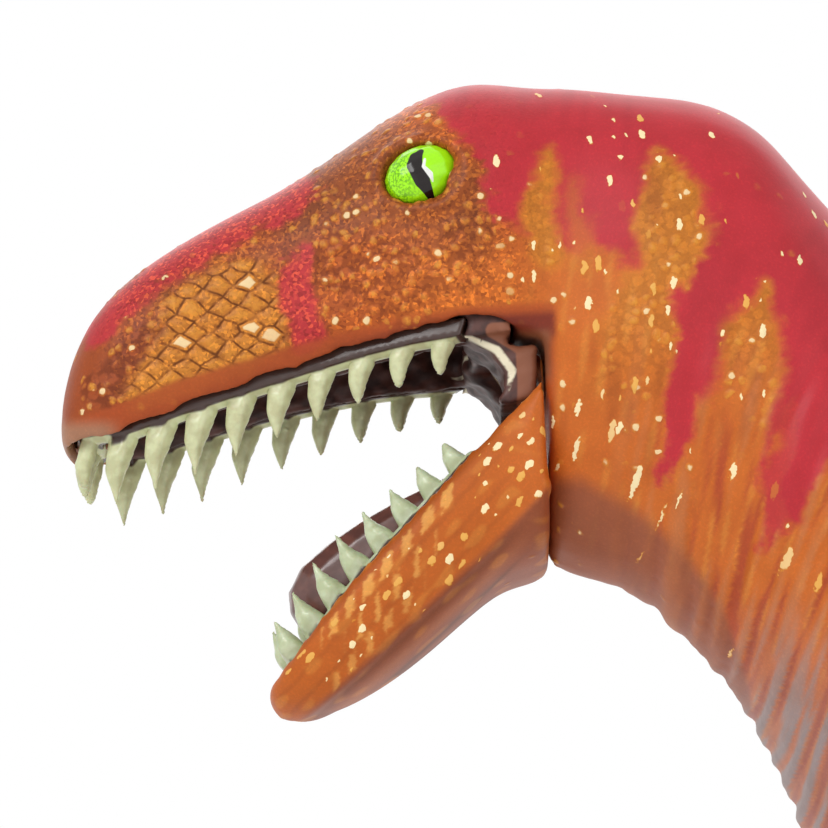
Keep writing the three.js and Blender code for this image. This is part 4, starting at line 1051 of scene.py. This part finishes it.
    def body(self, points: Array, share: Array) -> Masks:
        """Colours and masks of the limbs and the tail.

        Args:
            points: Places in millimetres.
            share: How high each point lies between belly and back, 0 to 1.

        Returns:
            paint, beads, lattice, flecks and stipple, one row for each point.
        """
        wave = self.flank_waves(points)
        red = soft_step(share - 0.62 - 0.13 * wave - 0.012 * waves(points, 3.0, 11), -0.03, 0.03)
        return self.worn(points, red, soft_step(0.24 + 0.05 * wave - share, -0.08, 0.08))

    def worn(self, points: Array, red: Array, low: Array) -> Masks:
        """The body's colours, with its red back and its grey belly by their shares."""
        golden = 0.45 * soft_step(waves(points * np.array([0.6, 0.6, 1.0]), 14.0, 15, 5), -0.4, 0.9)
        colour = laid(self.orange, (self.ochre, golden), (self.grey, 0.8 * low), (self.crimson, red))
        return {"paint": colour, "beads": 0.6 - 0.35 * red, "lattice": np.zeros(len(points)),
                "flecks": 0.32 * (1 - 0.6 * red), "stipple": 0.5 - 0.2 * red}


@dataclass
class HeadSkin:
    """The head and neck's hide, in a left and a right half."""

    voxel: float = 0.82
    eye_rim: float = 0.55
    rim_at: float = 1.22  # in half sizes of the eye
    rim_half: float = 0.16
    fold: float = 0.42
    neighbours: tuple[str, ...] = ("palate", "upper_teeth", "left_eye", "right_eye", "lower_jaw")

    def build(self, coat: Coat, finish: Finish) -> None:
        """Sculpts both halves and dresses them."""
        copy = copy_of("head_work", "head_left_shell", "head_right_shell", plugs=(neck_plug(1.7),))
        surface = Surface(remeshed(copy, self.voxel))
        away = (surface.points - NECK_SEAT) @ NECK_WAY
        free = soft_step(distance_to(surface.points, self.neighbours), 0.7, 3.5) * soft_step(away, 0.4, 3.0)
        surface.melt(LONG_MELT, free)
        surface.melt(8)
        lip = beside_path(coat.plane(surface.points), [(*place, 0.6) for place in coat.lip])
        surface.melt(24, 1 - soft_step(lip, 0.0, 1.4))
        self.sculpt(surface, coat, free)
        finish.halves(surface, lambda skin: self.paint(skin, coat), "head", "head_skin")

    def paint(self, surface: Surface, coat: Coat) -> Masks:
        """The head's coat, with few flecks where the skin turns away from the side."""
        made = coat.head(surface.points)
        made["flecks"] *= soft_step(np.abs(surface.normals()[:, 1]), 0.15, 0.5)
        return made

    def sculpt(self, surface: Surface, coat: Coat, free: Array) -> None:
        """Raises the eye's rim and folds the neck."""
        points = surface.points
        low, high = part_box("left_eye")
        centre = np.array((low + high) / 2) / MM
        size = np.array((high - low) / 2) / MM
        apart = np.linalg.norm((points[:, [0, 2]] - centre[[0, 2]]) / size[[0, 2]], axis=1)
        side = soft_step(np.abs(points[:, 1]), 6.0, 9.0)
        rim = self.eye_rim * np.exp(-((apart - self.rim_at) / self.rim_half) ** 2) * side
        folded = self.fold * coat.fold_share(points) * free
        surface.push(rim + folded * (coat.strands(points) - 0.5))


@dataclass
class JawSkin:
    """The lower jaw's hide."""

    voxel: float = 0.5
    ridge: float = 0.35
    ridge_half: float = 0.9
    neighbours: tuple[str, ...] = ("mouth_floor", "lower_teeth", "head_left_shell", "head_right_shell")

    def build(self, coat: Coat, finish: Finish) -> None:
        """Sculpts and dresses the jaw."""
        surface = Surface(remeshed(copy_of("lower_jaw_hide", "lower_jaw"), self.voxel))
        free = soft_step(distance_to(surface.points, self.neighbours), 0.6, 2.5)
        surface.melt(LONG_MELT, free)
        surface.melt(6)
        surface.push(self.ridge * np.exp(-(coat.under_edge(surface.points) / self.ridge_half) ** 2) * free)
        finish.piece(surface, lambda skin: coat.jaw(skin.points), "jaw", "jaw_skin", "lower_jaw")


@dataclass
class BodySkin:
    """The body's hide, in a left and a right half."""

    voxel: float = 1.05
    tail_plug: Plug = Plug((27.7, 0.0, 114.4), (1.0, 0.0, 0.0), 7.0)
    limb_holes = ((-4.0, 24.3, 111.0, 6.6), (-83.23, 25.3, 116.68, 5.0))  # the hips' and the shoulders'
    screws: tuple[str, ...] = tuple(f"torso_screw_{k}" for k in range(1, 7))
    pegs: tuple[str, ...] = ("left_hip_peg", "right_hip_peg", "left_shoulder_peg", "right_shoulder_peg",
                             "neck_peg", "tail_peg")

    def build(self, coat: Coat, finish: Finish) -> None:
        """Sculpts and dresses both halves."""
        plugs = [neck_plug(-1.7), self.tail_plug]
        for side in (-1, 1):
            plugs += [Plug((x, side * y, z), (0.0, 1.0, 0.0), radius) for x, y, z, radius in self.limb_holes]
        copy = copy_of("body_work", "torso_left_shell", "torso_right_shell", plugs=tuple(plugs))
        surface = Surface(remeshed(copy, self.voxel))
        free = soft_step(distance_to(surface.points, self.pegs + self.screws), 2.0, 8.0)
        free *= soft_step((NECK_SEAT - surface.points) @ NECK_WAY, 0.4, 4.0)
        free *= soft_step(BODY_END - surface.points[:, 0], 0.4, 4.0)
        surface.melt(LONG_MELT, free)
        surface.melt(4)
        finish.halves(surface, lambda skin: coat.torso(skin.points), "torso", "body_skin")


@dataclass
class Limbs:
    """Both legs and both arms: their claws' thickness at most, and their seats from the middle plane."""

    leg_voxel: float = 0.9
    leg_claw: float = 3.4
    leg_seat: float = 25.6
    arm_voxel: float = 0.6
    arm_claw: float = 2.1
    arm_seat: float = 26.6
    claws_up_to: float = 0.22  # the share of the limb's height

    def build(self, coat: Coat, finish: Finish) -> None:
        """Sculpts and dresses the four limbs."""
        for side in Side:
            self.limb(f"{side.value}_leg", self.leg_voxel, self.leg_claw, self.leg_seat, coat, finish)
            self.limb(f"{side.value}_arm", self.arm_voxel, self.arm_claw, self.arm_seat, coat, finish)

    def limb(self, node: str, voxel: float, claw: float, seat: float, coat: Coat, finish: Finish) -> None:
        """One limb.

        Args:
            node: The CAD node's name.
            voxel: The grid's size in millimetres.
            claw: How thick its claws are at most, in millimetres.
            seat: How far from the middle plane it meets the body, in millimetres.
            coat: The painter.
            finish: The hide's scales and material.
        """
        surface = Surface(remeshed(copy_of(f"{node}_hide", node), voxel))
        low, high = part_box(node)
        bottom, height = low.z / MM, (high.z - low.z) / MM
        surface.relax(3)
        upper = soft_step(surface.points[:, 2] - bottom, 0.3 * height, 0.45 * height)
        surface.melt(40, upper * soft_step(np.abs(surface.points[:, 1]) - seat, 0.8, 3.0))

        def paint(skin: Surface) -> Masks:
            """The limb's paint, from its height and where it is as thin as a claw."""
            share = (skin.points[:, 2] - bottom) / height
            thin = (skin.thickness() < claw) & (share < self.claws_up_to)
            nail = soft_step(skin.blurred(thin.astype(float), 12), 0.45, 0.65)
            made = coat.body(skin.points, 0.2 + 0.5 * share)
            bare = {name: made[name] * (1 - nail) for name in MASKS}
            return {"paint": laid(made["paint"], (coat.horn, nail)), **bare}

        finish.piece(surface, paint, node, "limb_skin", node)


@dataclass
class Tail:
    """The tail's hide."""

    voxel: float = 0.9
    middle = [(TAIL_START, 114.4), (TAIL_TIP, 123.0)]
    half_height = [(TAIL_START, 18.4), (TAIL_TIP, 6.0)]
    band_reach: float = 0.16  # in shares of the way from belly to back
    band_length: float = 26.0

    def build(self, coat: Coat, finish: Finish) -> None:
        """Sculpts and dresses the tail."""
        surface = Surface(remeshed(copy_of("tail_hide", "tail"), self.voxel))
        along = surface.points[:, 0]
        free = soft_step(along - TAIL_START, 0.5, 4.0) * (1 - soft_step(along, 185.0, 194.0))
        surface.melt(LONG_MELT, free)
        surface.relax(3)
        finish.piece(surface, lambda skin: self.paint(skin.points, coat), "tail", "tail_skin", "tail")

    def paint(self, points: Array, coat: Coat) -> Masks:
        """The tail's paint: the back's red comes down in bands."""
        along, _, up = points.T
        bands = self.band_reach * np.sin((along - 30.0) * 2 * math.pi / self.band_length)
        bands *= soft_step(along, 45.0, 80.0)
        height = (up - line_at(self.middle, along)) / line_at(self.half_height, along)
        return coat.body(points, 0.5 + 0.5 * height + bands)


@dataclass
class Mouth:
    """The palate, the mouth's floor, the teeth and the tongue."""

    lining_voxel: float = 0.5
    tooth_voxel: float = 0.24
    tongue_voxel: float = 0.4
    ripple: float = 0.12
    ripple_length: float = 2.4
    swell: float = 0.45
    groove: float = 0.35
    groove_half: float = 0.7
    rim_path = [(-14.5, 1.7, 0.05), (-12.3, 1.5, 0.25), (-9.4, 0.2, 0.45), (-7.7, -2.1, 0.45),
                (-8.2, -4.4, 0.1)]
    front_path = [(-61.0, -11.2, 2.0), (-54.8, -11.0, 1.5)]
    web_path = [(-9.8, 2.4, 0.9), (-5.0, 1.2, 2.4), (-5.2, -2.5, 2.0), (-6.0, -5.5, 1.2)]

    def build(self, coat: Coat, lining: Material, upper: Material, lower: Material, flesh: Material) -> None:
        """Builds and dresses the mouth's pieces."""
        shells = ("head_left_shell", "head_right_shell")
        self.line("palate", "head", shells, coat, lining)
        self.line("mouth_floor", "jaw", ("lower_jaw",), coat, lining)
        self.teeth("upper_teeth", "head", 3.0, ("palate", *shells), upper)
        self.teeth("lower_teeth", "jaw", 2.0, ("mouth_floor", "lower_jaw"), lower)
        tongue = Surface(remeshed(copy_of("tongue_flesh", "tongue"), self.tongue_voxel))
        tongue.relax(6)
        middle = np.exp(-(tongue.points[:, 1] / self.groove_half) ** 2)
        tongue.push(-self.groove * middle * soft_step(tongue.normals()[:, 2], 0.2, 0.6))
        dressed(tongue.obj, flesh, "jaw", "tongue_plastic", "tongue")

    def line(self, node: str, body: str, skins: tuple[str, ...], coat: Coat, material: Material) -> None:
        """One lining, rippled where it is clear of the skins round it."""
        surface = Surface(remeshed(copy_of(f"{node}_lining", node), self.lining_voxel))
        surface.relax(3)
        clear = soft_step(distance_to(surface.points, skins), 0.3, 1.2)
        surface.push(self.ripple * clear * waves(surface.points, self.ripple_length, 21))
        flat = coat.plane(surface.points)
        surface.note("web", np.minimum(beside_path(flat, self.web_path), beside_path(flat, self.front_path)))
        surface.note("rim", beside_path(flat, self.rim_path))
        dressed(surface.obj, material, body, "mouth_lining", node)

    def teeth(self, node: str, body: str, slim: float, near: tuple[str, ...], material: Material) -> None:
        """One row of teeth, fuller between their roots and where they grow slim."""
        surface = Surface(remeshed(copy_of(f"{node}_row", node), self.tooth_voxel))
        surface.relax(3)
        root = distance_to(surface.points, near)
        surface.push(self.swell * soft_step(root, 0.5, 1.8) * (1 - soft_step(root, slim, 2.2 * slim)))
        surface.note("root", root)
        dressed(surface.obj, material, body, "tooth_plastic", node)


@dataclass
class Eyes:
    """Both eyes."""

    voxel: float = 0.2
    front_reach: float = 2.0
    pupil = [(-0.1, 2.3, 0.3), (-0.7, 1.4, 0.75), (-0.85, 0.5, 0.9), (0.0, -1.2, 0.9), (1.0, -2.8, 0.4)]
    # the painted highlight: a white glint of reflected light on the eye
    glint = [(0.3, 1.2, 0.15), (0.15, 0.3, 0.2), (0.9, -0.5, 0.32), (1.2, -1.3, 0.1)]

    def build(self, material: Material) -> None:
        """Builds and dresses the eyes."""
        for side in Side:
            node = f"{side.value}_eye"
            surface = Surface(remeshed(copy_of(f"{node}_ball", node), self.voxel))
            surface.relax(8)
            low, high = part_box(node)
            flat = (surface.points - np.array((low + high) / 2) / MM)[:, [0, 2]]
            surface.note("front", -flat[:, 0] / self.front_reach)
            surface.note("pupil", beside_path(flat, self.pupil))
            surface.note("glint", beside_path(flat, self.glint))
            dressed(surface.obj, material, "head", "eye_plastic", node)


def recoloured(material: Material, *nodes: str) -> None:
    """Gives CAD nodes that keep their own shapes a material."""
    for node in nodes:
        mesh_of(node).materials.clear()
        mesh_of(node).materials.append(material)


@dataclass
class Studio:
    """The floor, the lights, the white backdrop and the camera."""

    target: tuple[float, float, float] = (-0.1575, 0.0, 0.1795)
    width: float = 0.0952
    distance: float = 0.5
    sensor: float = 36.0
    floor_size: float = 12.0
    white: Colour = (0.9, 0.9, 0.9)
    off_white: Colour = (0.88, 0.88, 0.88)
    glow_near: Colour = (0.3, 0.3, 0.3)
    glow_far: Colour = (0.52, 0.52, 0.52)
    world_strength: float = 0.55
    lit: tuple[float, float, float] = (-0.08, 0.0, 0.14)  # what the lamps face
    # Each lamp's place, size in metres and power in watts.
    lamps: tuple[tuple[tuple[float, float, float], float, float], ...] = (
        ((-0.75, -0.8, 0.75), 0.5, 5.0),
        ((0.35, -0.7, 0.35), 0.6, 1.0),
        ((-0.1, 0.6, 0.7), 0.8, 2.5),
    )

    def build(self) -> None:
        """Builds the whole studio."""
        self.floor()
        self.backdrop()
        for place, size, power in self.lamps:
            data = bpy.data.lights.new("softbox", "AREA")
            data.shape = "DISK"
            data.size = size
            data.energy = power
            aim(linked("softbox", data), place, Vector(self.lit) - Vector(place))
        self.camera()

    def camera(self) -> None:
        """Puts the camera at the photograph's angle."""
        data = bpy.data.cameras.new("view")
        data.sensor_width = self.sensor
        data.lens = self.sensor * self.distance / self.width
        data.clip_start, data.clip_end = 0.01, 100.0
        back = Vector((0.0, -math.cos(LEAN), -math.sin(LEAN)))
        camera = linked("view", data)
        aim(camera, Vector(self.target) + back * self.distance, -back)
        bpy.context.scene.camera = camera

    def floor(self) -> None:
        """A plain pale floor."""
        work = bmesh.new()
        bmesh.ops.create_grid(work, x_segments=1, y_segments=1, size=self.floor_size / 2)
        floor = solid("floor", work)
        material, wiring, shader = new_material("pale_floor")
        place = wiring.place()
        away = wiring.vector("LENGTH", {0: place}, 1)
        glow = wiring.blend(wiring.ramp(away, 0.3, 2.2), self.glow_near, self.glow_far)
        wiring.fill(shader, {
            "Base Color": wiring.blend(wiring.grain(place, 0.05, 3.0), self.white, self.off_white),
            "Roughness": 0.8, "Emission Color": wiring.blend(wiring.seen(), (0.0, 0.0, 0.0), glow),
            "Emission Strength": 1.0})
        floor.data.materials.append(material)

    def backdrop(self) -> None:
        """A world that lights softly and shows white."""
        world = bpy.data.worlds.new("studio")
        bpy.context.scene.world = world
        world.use_nodes = True
        wiring = Wiring(world.node_tree)
        wiring.nodes.clear()
        through = wiring.put("ShaderNodeLightPath", out="Is Transmission Ray")
        share = wiring.times(wiring.reckon("MAXIMUM", wiring.seen(), through), 1.0 - self.world_strength)
        strength = wiring.reckon("ADD", share, self.world_strength)
        ground = wiring.put("ShaderNodeBackground", {"Color": (1, 1, 1, 1), "Strength": strength})
        wiring.fill(wiring.nodes.new("ShaderNodeOutputWorld"), {"Surface": ground})


def main() -> None:
    """Builds every piece in order."""
    logging.basicConfig(level=logging.INFO, format="%(name)s %(message)s")
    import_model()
    bpy.context.scene.view_settings.view_transform = "Standard"
    Studio().build()
    coat = Coat()
    head = Scales("head_scales")
    jaw = Scales("jaw_scales", fleck=1.45 * MM, fleck_radius=0.32, fleck_share=0.45,
                 fleck_turn=math.radians(48.6), fleck_stretch=(0.8, 0.7, 1.0), fleck_even=0.4)
    body = Scales("body_scales", bead=2.1 * MM, speck=0.8 * MM, fleck=2.4 * MM, fleck_radius=0.26,
                  fleck_flat=False, bead_depth=0.2 * MM)
    group, relief = body.group(), body.relief()
    HeadSkin().build(coat, Finish(head.relief(), Hide("head_hide").build(head.group())))
    JawSkin().build(coat, Finish(jaw.relief(), Hide("jaw_hide", pale=0.45).build(jaw.group())))
    for skin, name in ((BodySkin(), "body_hide"), (Limbs(), "limb_hide"), (Tail(), "tail_hide")):
        skin.build(coat, Finish(relief, Hide(name, pale=0.4).build(group)))
    lining = Gloss("mouth_gum", paint_of(86, 48, 40), paint_of(52, 27, 23), 0.5, 2 * MM,
                   (("web", 0.0, paint_of(140, 84, 58)), ("rim", 0.0, paint_of(236, 226, 196))), coat=0.05)
    upper = Gloss("upper_ivory", paint_of(214, 218, 172), paint_of(196, 196, 150), 0.32, 1.5 * MM,
                  (("root", 0.8, paint_of(62, 38, 30)),), coat=0.2, subsurface=0.1)
    lower = Gloss("lower_ivory", paint_of(204, 214, 178), paint_of(184, 194, 152), 0.32, 1.5 * MM,
                  (("root", 0.8, paint_of(70, 42, 34)),), coat=0.2, subsurface=0.1)
    flesh = Gloss("tongue_flesh", paint_of(122, 76, 66), paint_of(96, 58, 52), 0.3, 2 * MM, coat=0.4)
    Mouth().build(coat, lining.build(), upper.build(), lower.build(), flesh.build())
    Eyes().build(EyeGlass().build())
    peg = Gloss("peg_plastic", paint_of(60, 50, 48), paint_of(48, 40, 38), 0.4, 3 * MM)
    steel = Gloss("screw_steel", paint_of(160, 160, 165), paint_of(130, 130, 136), 0.3, 1 * MM)
    recoloured(peg.build(), *BodySkin.pegs)
    recoloured(steel.build(), "jaw_pin", *BodySkin.screws)


if __name__ == "__main__":
    main()
